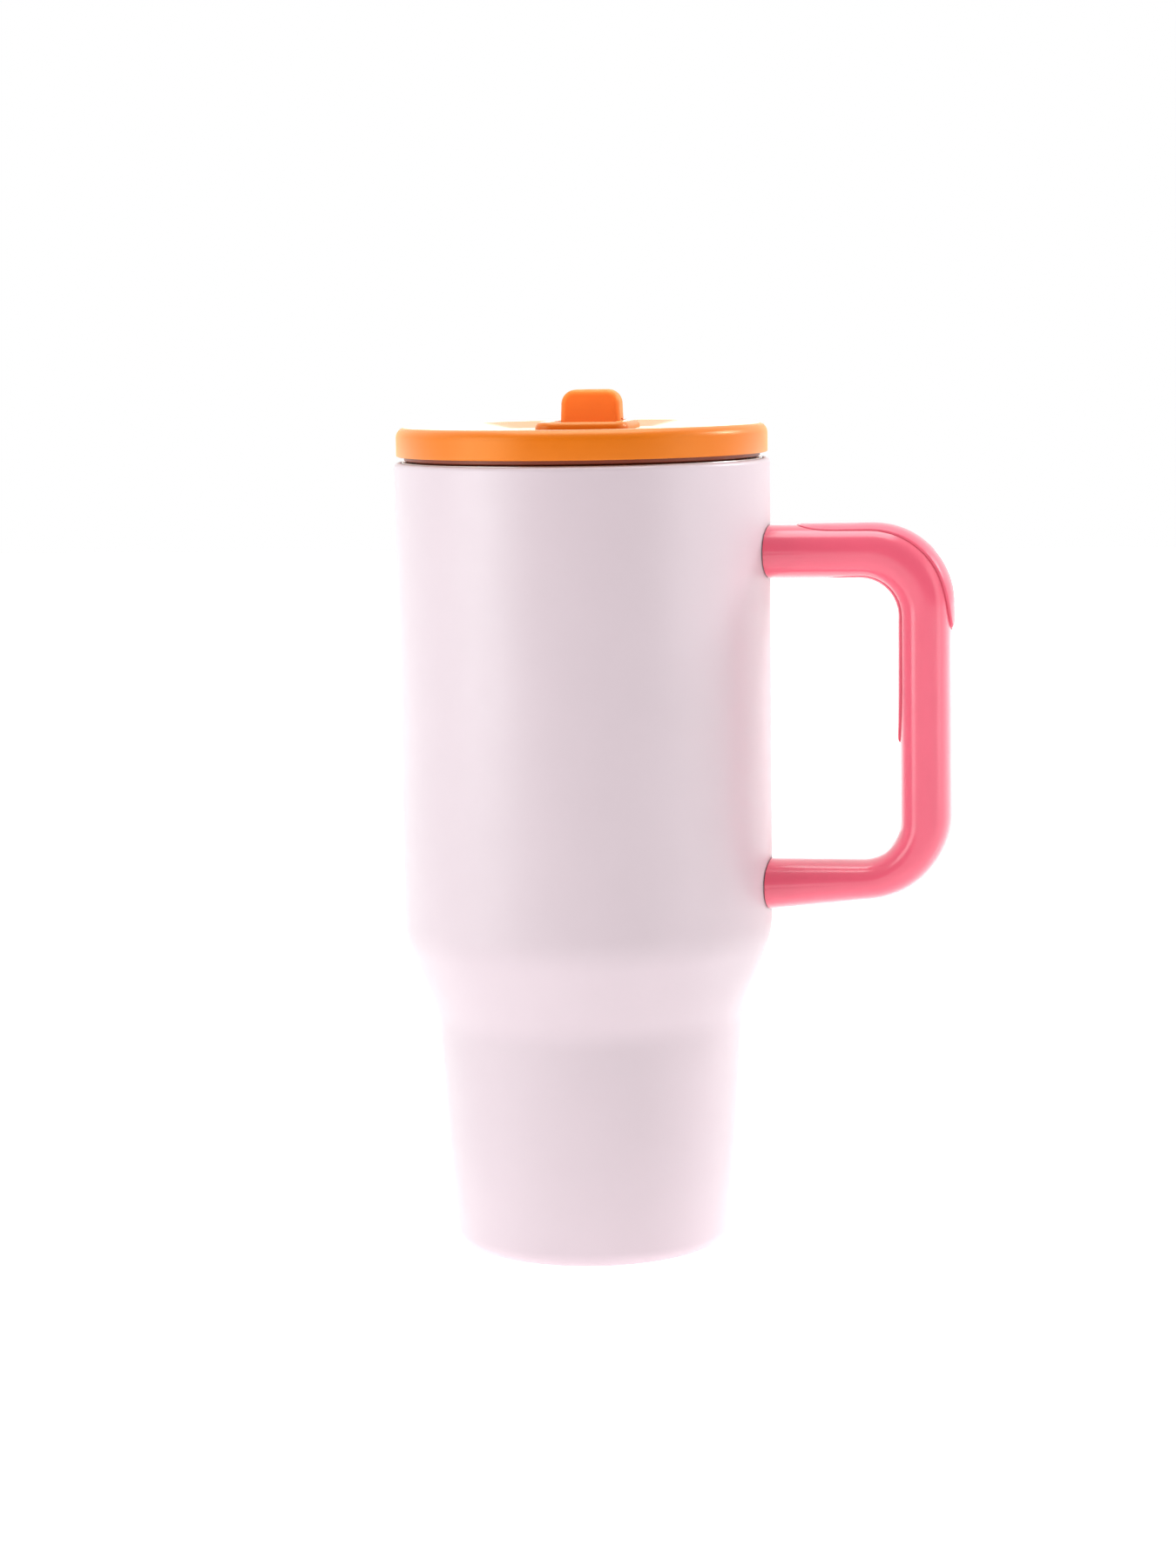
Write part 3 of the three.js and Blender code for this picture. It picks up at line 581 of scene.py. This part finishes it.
def handle_core():
    """The moulded handle. The fine parting line on both sides is faint away from the body."""
    sides, groove, depth = 88, 0.012, 0.04
    faint, upper_fade, lower_fade = 0.1, 0.6, 0.8
    parting = [TURN * 0.25, TURN * 0.75]  # exactly two of the angles
    angles = [TURN * (k / sides) for k in range(sides)]
    angles += [line + shift for line in parting for shift in (-groove, groove)]
    rows = []
    for s in stations(0, 5):
        fade = max(faint, 1 - s / upper_fade, (s - 4) / lower_fade)
        sink = -depth * min(1, fade)
        rows.append([handle_skin(s, angle, sink if angle in parting else 0.0) for angle in sorted(angles)])
    return skinned("handle", rows)


# first and last station, middle angle, half the angle it covers, height above the skin at the start and
# the growth of that height for each station
OUTER_GRIP = (0.42, 2.12, 0.0, 0.7, 0.15, 0.38)
INNER_GRIP = (0.7, 2.62, math.pi, 0.52, 0.05, 0.3)
PAD_TIP = 0.08  # width of a pad's tip, as a share of its full width
PAD_SEAM, PAD_END_SEAM = 0.16, 0.006  # open seam at a pad's sides in millimetres, at its ends in stations
PAD_SHOULDER = -0.25  # height at which a pad's rounded edge starts
END_EDGE, SIDE_EDGE = 0.03, 0.08  # extent of that edge in stations, and as a share of half the width
END_STEPS = (0.002, 0.006, 0.012, 0.022, 0.036, 0.055, 0.08, 0.11, 0.15, 0.2, 0.25)  # stations from a tip


def strip_reach(s, low, high, spread):
    """Half the angle that a grip pad covers at station s. The pad's ends are pointed."""
    room = min(1, min(s - low, high - s) / GRIP_TAPER)
    return spread * (PAD_TIP + (1 - PAD_TIP) * math.sqrt(1 - (1 - room) ** 2))


def grip_solid(name, low, high, middle, spread, floor, crown):
    """A strip that follows the handle between two stations.

    Floor is the height of its lower face. Crown gives the height of its upper face from the station and
    the share of the rounded edge that is crossed: 0 at the rim, 1 where the edge ends.
    """
    steps, crowding = 28, 1.6  # the points are closer together near the strip's two sides
    evenly = [2 * k / steps - 1 for k in range(steps + 1)]
    shares = [math.copysign(1 - (1 - abs(t)) ** crowding, t) for t in evenly]
    ends = [low + k for k in END_STEPS] + [high - k for k in END_STEPS]
    rows = []
    for s in sorted(set(stations(low, high) + ends)):
        reach = strip_reach(s, low, high, spread)
        end_room = min(1, min(s - low, high - s) / END_EDGE)
        heights = [crown(s, min(end_room, (1 - abs(t)) / SIDE_EDGE)) for t in shares]
        top = [handle_skin(s, middle + reach * t, height) for t, height in zip(shares, heights)]
        bottom = [handle_skin(s, middle + reach * t, floor) for t in reversed(shares)]
        rows.append(top + bottom)
    return skinned(name, rows)


def grip_pad(grip, node):
    low, high, middle, spread, proud, growth = grip

    def crown(s, share):
        top = proud + growth * (s - low)
        return PAD_SHOULDER + (top - PAD_SHOULDER) * math.sqrt(1 - (1 - share) ** 2)

    pad = grip_solid("pad", low, high, middle, spread, GAP - GRIP_DEPTH, crown)
    finished(pad, node, "tumbler", GRIP_RUBBER, SOFT_CREASE)


def grip_recess(grip):
    """The cut for a grip pad, which reaches well above the skin."""
    above = 2
    low, high, middle, spread = grip[:4]
    wider = spread + PAD_SEAM / HANDLE_HALF_W
    ends = low - PAD_END_SEAM, high + PAD_END_SEAM
    return grip_solid("recess", *ends, middle, wider, -GRIP_DEPTH, lambda s, share: above)


ARM_Z = (ARM_TOP + ARM_UNDER) / 2 - BRACKET_DROP
LOW_ARM_Z = (LOW_ARM_TOP + HEEL_Z) / 2 + LOW_BRACKET_RISE
SCREW_TOP = ARM_TOP - GRIP_DEPTH - SCREW_SINK
LOW_SCREW_TOP = HEEL_Z + HEEL_SLOPE * (SCREW_X - BODY_R) + LOW_SCREW_SINK


def body_keep_out():
    """The body's straight upper part, grown by the gap between it and the arms."""
    return turned("keep_out", [
        (0, SHOULDER_Z), (BODY_R + ARM_GAP, SHOULDER_Z), (TOP_R + ARM_GAP, SHELL_TOP), (0, SHELL_TOP),
    ])


def bracket_socket(z, half_height):
    """The room for a bracket and the gap round it."""
    half_w, half_h = BRACKET_W + GAP, half_height + GAP
    return block(ARM_START_X, BRACKET_END + GAP, -half_w, half_w, z - half_h, z + half_h)


def handle():
    above, below = 200, 90  # heights clear of the two arms
    cuts = [
        body_keep_out(),
        grip_recess(OUTER_GRIP),
        grip_recess(INNER_GRIP),
        cylinder(SCREW_HEAD_R + GAP, SCREW_TOP - SCREW_HEAD - GAP, above, SCREW_X),
        cylinder(SCREW_R + GAP, ARM_Z, above, SCREW_X),
        cylinder(SCREW_HEAD_R + GAP / 2, below, LOW_SCREW_TOP + SCREW_HEAD + GAP, SCREW_X),
        cylinder(SCREW_R + GAP, below, LOW_ARM_Z, SCREW_X),
        bracket_socket(ARM_Z, BRACKET_H),
        bracket_socket(LOW_ARM_Z, LOW_BRACKET_H),
    ]
    moulding = combine(handle_core(), cuts, solver="EXACT")
    finished(moulding, "handle", "tumbler", HANDLE_PLASTIC)


def screw_cap():
    """Soft plug over the lower screw. The outer grip pad covers the upper one."""
    low, high, edge = LOW_SCREW_TOP - CAP_HEIGHT, LOW_SCREW_TOP - GAP, 0.35
    outline = [(0, low), (SCREW_HEAD_R, low, edge), (SCREW_HEAD_R, high), (0, high)]
    cap = turned("cap", rounded(outline), SMALL, SCREW_X)
    finished(cap, "handle_screw_cap", "tumbler", GRIP_RUBBER)


# ---------------------------------------------------------------- lid


def lid_cover():
    """Dished disc with a hole for the housing's well and a flared air hole."""
    under = LID_DISH - LID_WALL
    lower_edge = 0.35
    cover = turned("lid_cover", rounded([
        (0, LID_DISH), (DISH_R, LID_DISH, DISH_FILLET), (CREST_R, LID_TOP, CREST_FILLET),
        (LID_R, LID_TOP, LID_EDGE), (LID_R, LID_BOTTOM, lower_edge),
        (LID_R - LID_WALL, LID_BOTTOM, CRISP), (LID_R - LID_WALL, under), (0, under),
    ]))
    well = skinned("well", [
        round_rect(WELL_W + GAP, WELL_FRONT - GAP, WELL_BACK + GAP, WELL_CORNER + GAP, z)
        for z in (under - 1, LID_TOP + 1)
    ])
    flared, flare_low, flare_high = VENT_R + VENT_FLARE, LID_DISH - 0.25, LID_DISH + 0.15
    vent = turned("vent", [
        (0, under - 1), (VENT_R, under - 1), (VENT_R, flare_low), (flared, flare_high),
        (flared, LID_TOP), (0, LID_TOP),
    ], TINY, 0, VENT_Y)
    finished(combine(cover, [well, vent]), "lid_cover", "lid", LID_PLASTIC)


def lid_base():
    """Dish that plugs the cup, with a groove for the gasket and a flange that rests on the rim."""
    inside, floor_top, fillet = PLUG_R - PLUG_WALL, PLUG_BOTTOM + PLUG_FLOOR, 1
    base = turned("lid_base", rounded([
        (0, PLUG_BOTTOM), (PLUG_R, PLUG_BOTTOM, PLUG_EDGE), (PLUG_R, GROOVE_LOW, TIGHT),
        (GROOVE_R, GROOVE_LOW), (GROOVE_R, GROOVE_HIGH), (PLUG_R, GROOVE_HIGH, TIGHT),
        (PLUG_R, FLANGE_BOTTOM), (FLANGE_R, FLANGE_BOTTOM, CRISP), (FLANGE_R, FLANGE_TOP, CRISP),
        (inside, FLANGE_TOP), (inside, floor_top, fillet), (0, floor_top),
    ]))
    below, above = PLUG_BOTTOM - 4, floor_top + 4
    holes = [
        cylinder(PORT_R + PORT_SEAL_W + GAP, below, above, 0, PIVOT_Y),
        cylinder(VALVE_HOLE_R, below, above, 0, VENT_Y),
    ]
    finished(combine(base, holes), "lid_base", "lid", LID_INNER_PAINTED_SHADE)


def lid_gasket():
    """Ring seal with two soft ribs."""
    low, high, back = GROOVE_LOW + GAP, GROOVE_HIGH - GAP, GROOVE_R + GAP
    valley, tip, arc_steps = PLUG_R + 0.9, 0.22, 5
    rib_inset, rib_below, rib_above = 1.1, 0.9, 0.7
    profile = [(back, low)]
    for z in (low + rib_inset, high - rib_inset):
        profile += [(valley, z - rib_below, CRISP), (GASKET_R, z, tip), (valley, z + rib_above, CRISP)]
    gasket = turned("lid_gasket", rounded(profile + [(back, high)], arc_steps))
    finished(gasket, "lid_gasket", "lid", SEAL_SILICONE)


def well_rings():
    """Outside of the well, upwards. Its front wall leans out under the thumb ramp."""
    leaning = (WELL_FRONT - UNDERCUT_Y) / (UNDERCUT_FRONT - UNDERCUT_Y)
    lean_top = UNDERCUT_Z + (PLINTH_BOTTOM - UNDERCUT_Z) * leaning
    front_wall = [
        (UNDERCUT_Y, WELL_BOTTOM), (UNDERCUT_Y, UNDERCUT_Z),
        (WELL_FRONT, lean_top), (WELL_FRONT, PLINTH_BOTTOM),
    ]
    return [round_rect(WELL_W, y, WELL_BACK, WELL_CORNER, z) for y, z in front_wall]


def plinth_rings():
    """The raised plate on the lid, from its lower edge to the end of its rounded upper edge."""
    rings = [round_rect(PLINTH_W, PLINTH_FRONT, PLINTH_BACK, PLINTH_CORNER, PLINTH_BOTTOM)]
    for angle in quarter_steps(ARC):
        step_in = PLINTH_EDGE * (1 - math.cos(angle))
        front, back = PLINTH_FRONT + step_in, PLINTH_BACK - step_in
        z = PLINTH_TOP - PLINTH_EDGE + PLINTH_EDGE * math.sin(angle)
        rings.append(round_rect(PLINTH_W - step_in, front, back, PLINTH_CORNER - step_in, z))
    return rings


def ramp_y(z):
    """Front wall of the channel: a thumb ramp above the ledge."""
    share = max(0, (z - CHANNEL_LEDGE) / (RAMP_TOP_Z - CHANNEL_LEDGE))
    return CHANNEL_FRONT + (RAMP_TOP_Y - CHANNEL_FRONT) * share


def channel_rings():
    """The channel that the spout folds into, from its rounded lip down to its floor."""
    rings = []
    for angle in quarter_steps(ARC):
        out = CHANNEL_LIP * (1 - math.sin(angle))
        z = PLINTH_TOP - CHANNEL_LIP + CHANNEL_LIP * math.cos(angle)
        front, back = ramp_y(z) - out, CHANNEL_BACK + out
        rings.append(round_rect(CHANNEL_W + out, front, back, CHANNEL_CORNER + out, z))
    bevel, bevel_height = 0.4, 0.5
    for z in (CHANNEL_LEDGE, CHANNEL_FLOOR + bevel_height):
        rings.append(round_rect(CHANNEL_W, ramp_y(z), CHANNEL_BACK, CHANNEL_CORNER, z))
    front, back = CHANNEL_FRONT + bevel, CHANNEL_BACK - bevel
    rings.append(round_rect(CHANNEL_W - bevel, front, back, CHANNEL_CORNER - bevel, CHANNEL_FLOOR))
    return rings


def spout_housing():
    """Raised surround of the spout, and under it the well that the spout folds into."""
    housing = skinned("housing", well_rings() + plinth_rings() + channel_rings())
    in_floor, in_channel = WELL_BOTTOM + 0.5, CHANNEL_FLOOR + 1.7
    port = turned("port", rounded([
        (0, PORT_BOTTOM), (PORT_R, PORT_BOTTOM, SOFT), (PORT_R, in_floor), (0, in_floor),
    ]), SMALL, 0, PIVOT_Y)
    combine(housing, [port], "UNION")
    combine(housing, [
        cylinder(PORT_BORE, PORT_BOTTOM - 1, in_channel, 0, PIVOT_Y),
        cylinder(SEAL_R + GAP, SEAL_BOTTOM - GAP, in_channel, 0, PIVOT_Y),
        cross_rod(TRUNNION_R + GAP, TRUNNION_REACH + GAP),
    ])
    finished(housing, "spout_housing", "lid", LID_PLASTIC)


def straw():
    tube = turned("straw", rounded([
        (PORT_BORE, STRAW_BOTTOM, CRISP), (STRAW_R, STRAW_BOTTOM, SOFT),
        (STRAW_R, STRAW_TOP, SOFT), (PORT_BORE, STRAW_TOP, CRISP),
    ]), MEDIUM, 0, PIVOT_Y)
    finished(tube, "straw", "lid", STRAW_PLASTIC)


def straw_adapter():
    """Elastic sleeve that joins the straw to the housing's port. Its lower end tapers."""
    straw_socket, port_socket = STRAW_R + GAP, PORT_R + GAP
    taper, septum_top = 3, PORT_BOTTOM - GAP
    sleeve = turned("sleeve", rounded([
        (ADAPTER_R - EASED, ADAPTER_BOTTOM, EASED), (ADAPTER_R, ADAPTER_BOTTOM + taper),
        (ADAPTER_R, ADAPTER_TOP, SOFT), (port_socket, ADAPTER_TOP, CRISP), (port_socket, septum_top),
        (PORT_BORE, septum_top), (PORT_BORE, ADAPTER_LEDGE),
        (straw_socket, ADAPTER_LEDGE), (straw_socket, ADAPTER_BOTTOM, CRISP),
    ]), MEDIUM, 0, PIVOT_Y)
    finished(sleeve, "straw_adapter", "lid", SEAL_SILICONE)


def vent_valve():
    """Umbrella valve: a domed skirt under the lid's floor, and a barb that holds it from above."""
    under, over = PLUG_BOTTOM - GAP, PLUG_BOTTOM + PLUG_FLOOR + GAP
    stem, barb, barb_top, dome, skirt, dome_fillet = 1, 2.2, 1.2, 2.6, 4, 2
    dome_edge, skirt_edge = VALVE_LOW + 0.3, VALVE_LOW + 0.9
    valve = turned("valve", rounded([
        (0, VALVE_LOW), (dome, dome_edge, dome_fillet), (skirt, skirt_edge, TIGHT), (skirt, under),
        (stem, under), (stem, over), (barb, over, TIGHT), (barb_top, VALVE_TOP, EASED), (0, VALVE_TOP),
    ]), SMALL, 0, VENT_Y)
    finished(valve, "vent_valve", "lid", SEAL_SILICONE)


# ---------------------------------------------------------------- spout


def spout_core():
    """Hub with its trunnions, the neck and the stem that carries the mouthpiece."""
    hair = 0.01  # keeps the neck's sides out of the planes of the hub's ends
    half = [
        (0, TRUNNION_REACH), (TRUNNION_R, TRUNNION_REACH, CRISP), (TRUNNION_R, TAB_HALF_W),
        (HUB_R, TAB_HALF_W, EASED),
    ]
    other_half = [(r, -x, *radius) for r, x, *radius in half]
    core = rod("core", rounded(other_half + half[::-1]), MEDIUM)
    neck_w, neck_top = TAB_HALF_W - hair, PIVOT_Z + TAB_SEAM - GAP / 2
    combine(core, [
        block(-neck_w, neck_w, PIVOT_Y - TAB_HALF_D, PIVOT_Y + TAB_HALF_D, PIVOT_Z, neck_top),
        block(-STEM_W, STEM_W, PIVOT_Y - STEM_D, PIVOT_Y + STEM_D, PIVOT_Z, PIVOT_Z + STEM_TOP),
    ], "UNION")
    combine(core, [cylinder(SPOUT_BORE, PIVOT_Z - HUB_R - 1, PIVOT_Z + TAB_TOP, 0, PIVOT_Y)])
    finished(core, "spout_core", "spout", LID_PLASTIC)


def tab_ring(step_in, y):
    """The tab's front outline moved in by a distance, at depth y."""
    low = PIVOT_Z + TAB_SEAM + GAP / 2 + step_in
    high = PIVOT_Z + TAB_TOP - step_in
    wide, narrow = TAB_HALF_W - step_in, TAB_TOP_W - step_in
    foot_corner, top_corner = max(TIGHT, TAB_FOOT_CORNER - step_in), TAB_TOP_CORNER - step_in
    feet = [(-wide, low, foot_corner), (wide, low, foot_corner)]
    shoulders = [(narrow, high, top_corner), (-narrow, high, top_corner)]
    return [(x, PIVOT_Y + y, z) for x, z in rounded(feet + shoulders, TAB_ARC)]


def mouthpiece():
    """Soft tab with rounded edges and a drinking hole with a rounded lip."""
    side = quarter_steps(TAB_STEPS)
    bulge = [(TAB_EDGE * (1 - math.sin(a)), TAB_HALF_D - TAB_EDGE * (1 - math.cos(a))) for a in side]
    rings = [tab_ring(step_in, -depth) for step_in, depth in bulge]
    rings += [tab_ring(step_in, depth) for step_in, depth in reversed(bulge)]
    tab = skinned("mouthpiece", rings)
    top, over, lip_r = PIVOT_Z + TAB_TOP, PIVOT_Z + TAB_TOP + 1, SPOUT_BORE + BORE_LIP
    flare = [(lip_r - BORE_LIP * math.cos(a), top - BORE_LIP + BORE_LIP * math.sin(a)) for a in side]
    hole = [(0, PIVOT_Z), (SPOUT_BORE, PIVOT_Z)] + flare + [(lip_r, over), (0, over)]
    pocket_w, pocket_d, pocket_top = STEM_W + GAP, STEM_D + GAP, PIVOT_Z + STEM_TOP + GAP
    combine(tab, [
        block(-pocket_w, pocket_w, PIVOT_Y - pocket_d, PIVOT_Y + pocket_d, PIVOT_Z, pocket_top),
        cross_rod(HUB_R + GAP, 2 * TAB_HALF_W),
        turned("hole", hole, SMALL, 0, PIVOT_Y),
    ])
    finished(tab, "mouthpiece", "spout", SPOUT_SILICONE, SOFT_CREASE)


def hidden_nodes():
    """Looks for the pieces out of sight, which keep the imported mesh."""
    looks = {
        "vacuum_base_plate": PLATE_STEEL, "vacuum_seal_bead": GETTER_METAL, "getter": GETTER_METAL,
        "handle_bracket_upper": PLATE_STEEL, "handle_bracket_lower": PLATE_STEEL,
        "handle_screw_upper": SCREW_STEEL, "handle_screw_lower": SCREW_STEEL,
        "spout_seal": SEAL_SILICONE, "port_seal": SEAL_SILICONE,
    }
    for name, look in looks.items():
        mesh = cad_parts[name].data
        mesh.materials.clear()
        mesh.materials.append(look)


outer_shell()
inner_liner()
base_cover()
foot_pad()
handle()
grip_pad(OUTER_GRIP, "handle_grip_outer")
grip_pad(INNER_GRIP, "handle_grip_inner")
screw_cap()
lid_cover()
lid_base()
lid_gasket()
spout_housing()
straw()
straw_adapter()
vent_valve()
spout_core()
mouthpiece()
hidden_nodes()

# ---------------------------------------------------------------- floor, light and camera

COOL = (0.93, 1.0, 0.98)  # colour of the daylight in the room
WHITE = (1.0, 1.0, 1.0)

# start and end of a change, and the strength of the light at each of them
NEAR_GLOW = (0.04, 0.12, 0.7, 0.23)  # over the distance from the floor's middle, in metres
FAR_GLOW = (0.5, 2.0, 0.0, 1.0)  # over the same distance
FRONT_FADE = (-0.5, 1.1, 0.97, 0.15)  # over the cosine of the angle to the dim side of the room
CEILING_GLOW = (0.2, 0.9, 0.0, 0.1)  # over the sine of the elevation
DIM_SIDE = (12, 5)  # azimuth and elevation of the middle of the dim side, in degrees

LAMP_AIM = Vector((0, 0, 0.13))  # point in the object that the lamps face, in metres
LAMP_DISTANCE = 1.2  # from that point, in metres
LAMPS = {  # azimuth and elevation in degrees, width and height in metres, power in watts, colour
    "left": (-54, 8, 0.8, 1.2, 7.5, COOL),
    "right": (74, 8, 0.5, 1.2, 2.0, COOL),
    "back_right": (115, 28, 0.2, 0.3, 4.5, WHITE),
    "overhead": (180, 85, 0.9, 0.9, 9.0, WHITE),
    "horizon": (189.5, 8, 0.5, 0.3, 0.8, WHITE),
}

LENS = 85.3  # focal length in millimetres
CAMERA_TURN, CAMERA_PITCH, CAMERA_ROLL = 9.5, 7.14, -0.89  # degrees
CAMERA_SIDE, CAMERA_BACK, CAMERA_HEIGHT = 0.27, 1002, 251.5  # millimetres from the origin


def direction(azimuth, elevation):
    """Unit vector from the object; azimuth 0 is the front, 90 the handle's side."""
    a, e = math.radians(azimuth), math.radians(elevation)
    return Vector((math.sin(a) * math.cos(e), -math.cos(a) * math.cos(e), math.sin(e)))


def link_sum(nodes, links, changes, target):
    """Links the sum of two changes to a socket. Each is given as the socket it follows and its numbers."""
    both = nodes.new("ShaderNodeMath")
    for index, (source, ends) in enumerate(changes):
        strength = map_range(nodes, *ends)
        links.new(source, strength.inputs["Value"])
        links.new(strength.outputs["Result"], both.inputs[index])
    links.new(both.outputs["Value"], target)


def pale_floor():
    """White table that is lit from below round the object, and fades into the white room far away."""
    half = 3000
    corners = [(-half, -half, 0), (half, -half, 0), (half, half, 0), (-half, half, 0)]
    floor = shape("floor", corners, [(0, 1, 2, 3)])
    finish = Finish("floor", colour(250, 250, 250), 0.3)
    finish.mottle(finish.noise(size=60), amount=0.004)
    finish.worn(finish.noise(size=40), amount=0.03)
    distance = finish.nodes.new("ShaderNodeVectorMath")
    distance.operation = "LENGTH"
    finish.links.new(finish.place, distance.inputs[0])
    away = distance.outputs["Value"]
    glow = finish.shader.inputs["Emission Strength"]
    link_sum(finish.nodes, finish.links, [(away, NEAR_GLOW), (away, FAR_GLOW)], glow)
    finish.set(Emission_Color=(*WHITE, 1))
    floor.data.materials.append(finish.material)


def room():
    """Room that is dimmer towards the front, and plain white behind everything in view."""
    world = bpy.data.worlds.new("room")
    bpy.context.scene.world = world
    world.use_nodes = True
    nodes, links = world.node_tree.nodes, world.node_tree.links
    background, output = nodes["Background"], nodes["World Output"]
    place = nodes.new("ShaderNodeTexCoord").outputs["Generated"]
    dot = nodes.new("ShaderNodeVectorMath")
    dot.operation = "DOT_PRODUCT"
    dot.inputs[1].default_value = direction(*DIM_SIDE)
    height = nodes.new("ShaderNodeSeparateXYZ")
    links.new(place, dot.inputs[0])
    links.new(place, height.inputs["Vector"])
    changes = [(dot.outputs["Value"], FRONT_FADE), (height.outputs["Z"], CEILING_GLOW)]
    link_sum(nodes, links, changes, background.inputs["Strength"])
    background.inputs["Color"].default_value = (*COOL, 1)
    plain = nodes.new("ShaderNodeBackground")
    plain.inputs["Color"].default_value = (*WHITE, 1)
    ray = nodes.new("ShaderNodeLightPath")
    mix = nodes.new("ShaderNodeMixShader")
    links.new(ray.outputs["Is Camera Ray"], mix.inputs["Fac"])
    links.new(background.outputs["Background"], mix.inputs[1])
    links.new(plain.outputs["Background"], mix.inputs[2])
    links.new(mix.outputs["Shader"], output.inputs["Surface"])


def softbox(name, azimuth, elevation, width, height, power, tint):
    """Rectangular lamp that faces the object."""
    light = bpy.data.lights.new(name, "AREA")
    light.shape = "RECTANGLE"
    light.size, light.size_y, light.energy, light.color = width, height, power, tint
    lamp = bpy.data.objects.new(name, light)
    bpy.context.scene.collection.objects.link(lamp)
    lamp.location = LAMP_AIM + direction(azimuth, elevation) * LAMP_DISTANCE
    lamp.rotation_mode = "QUATERNION"
    lamp.rotation_quaternion = direction(azimuth, elevation).to_track_quat("Z", "Y")


def front_camera():
    """Camera a little to the right of the front and slightly above the lid, looking down."""
    turn, pitch, roll = math.radians(CAMERA_TURN), math.radians(CAMERA_PITCH), math.radians(CAMERA_ROLL)
    right = Vector((math.cos(turn), math.sin(turn), 0))
    away = Vector((-math.sin(turn), math.cos(turn), 0))
    up = Vector((0, 0, 1))
    camera = bpy.data.cameras.new("camera")
    camera.lens = LENS
    camera.clip_start, camera.clip_end = 0.05, 30
    holder = bpy.data.objects.new("camera", camera)
    bpy.context.scene.collection.objects.link(holder)
    holder.location = (right * CAMERA_SIDE - away * CAMERA_BACK + up * CAMERA_HEIGHT) * MM
    forward = away * math.cos(pitch) - up * math.sin(pitch)
    above = right.cross(forward)
    level = right * math.cos(roll) + above * math.sin(roll)
    above = above * math.cos(roll) - right * math.sin(roll)
    holder.rotation_mode = "QUATERNION"
    holder.rotation_quaternion = Matrix((level, above, -forward)).transposed().to_quaternion()
    bpy.context.scene.camera = holder
    bpy.context.scene.view_settings.view_transform = "Standard"


pale_floor()
room()
for lamp_name, settings in LAMPS.items():
    softbox(lamp_name, *settings)
front_camera()
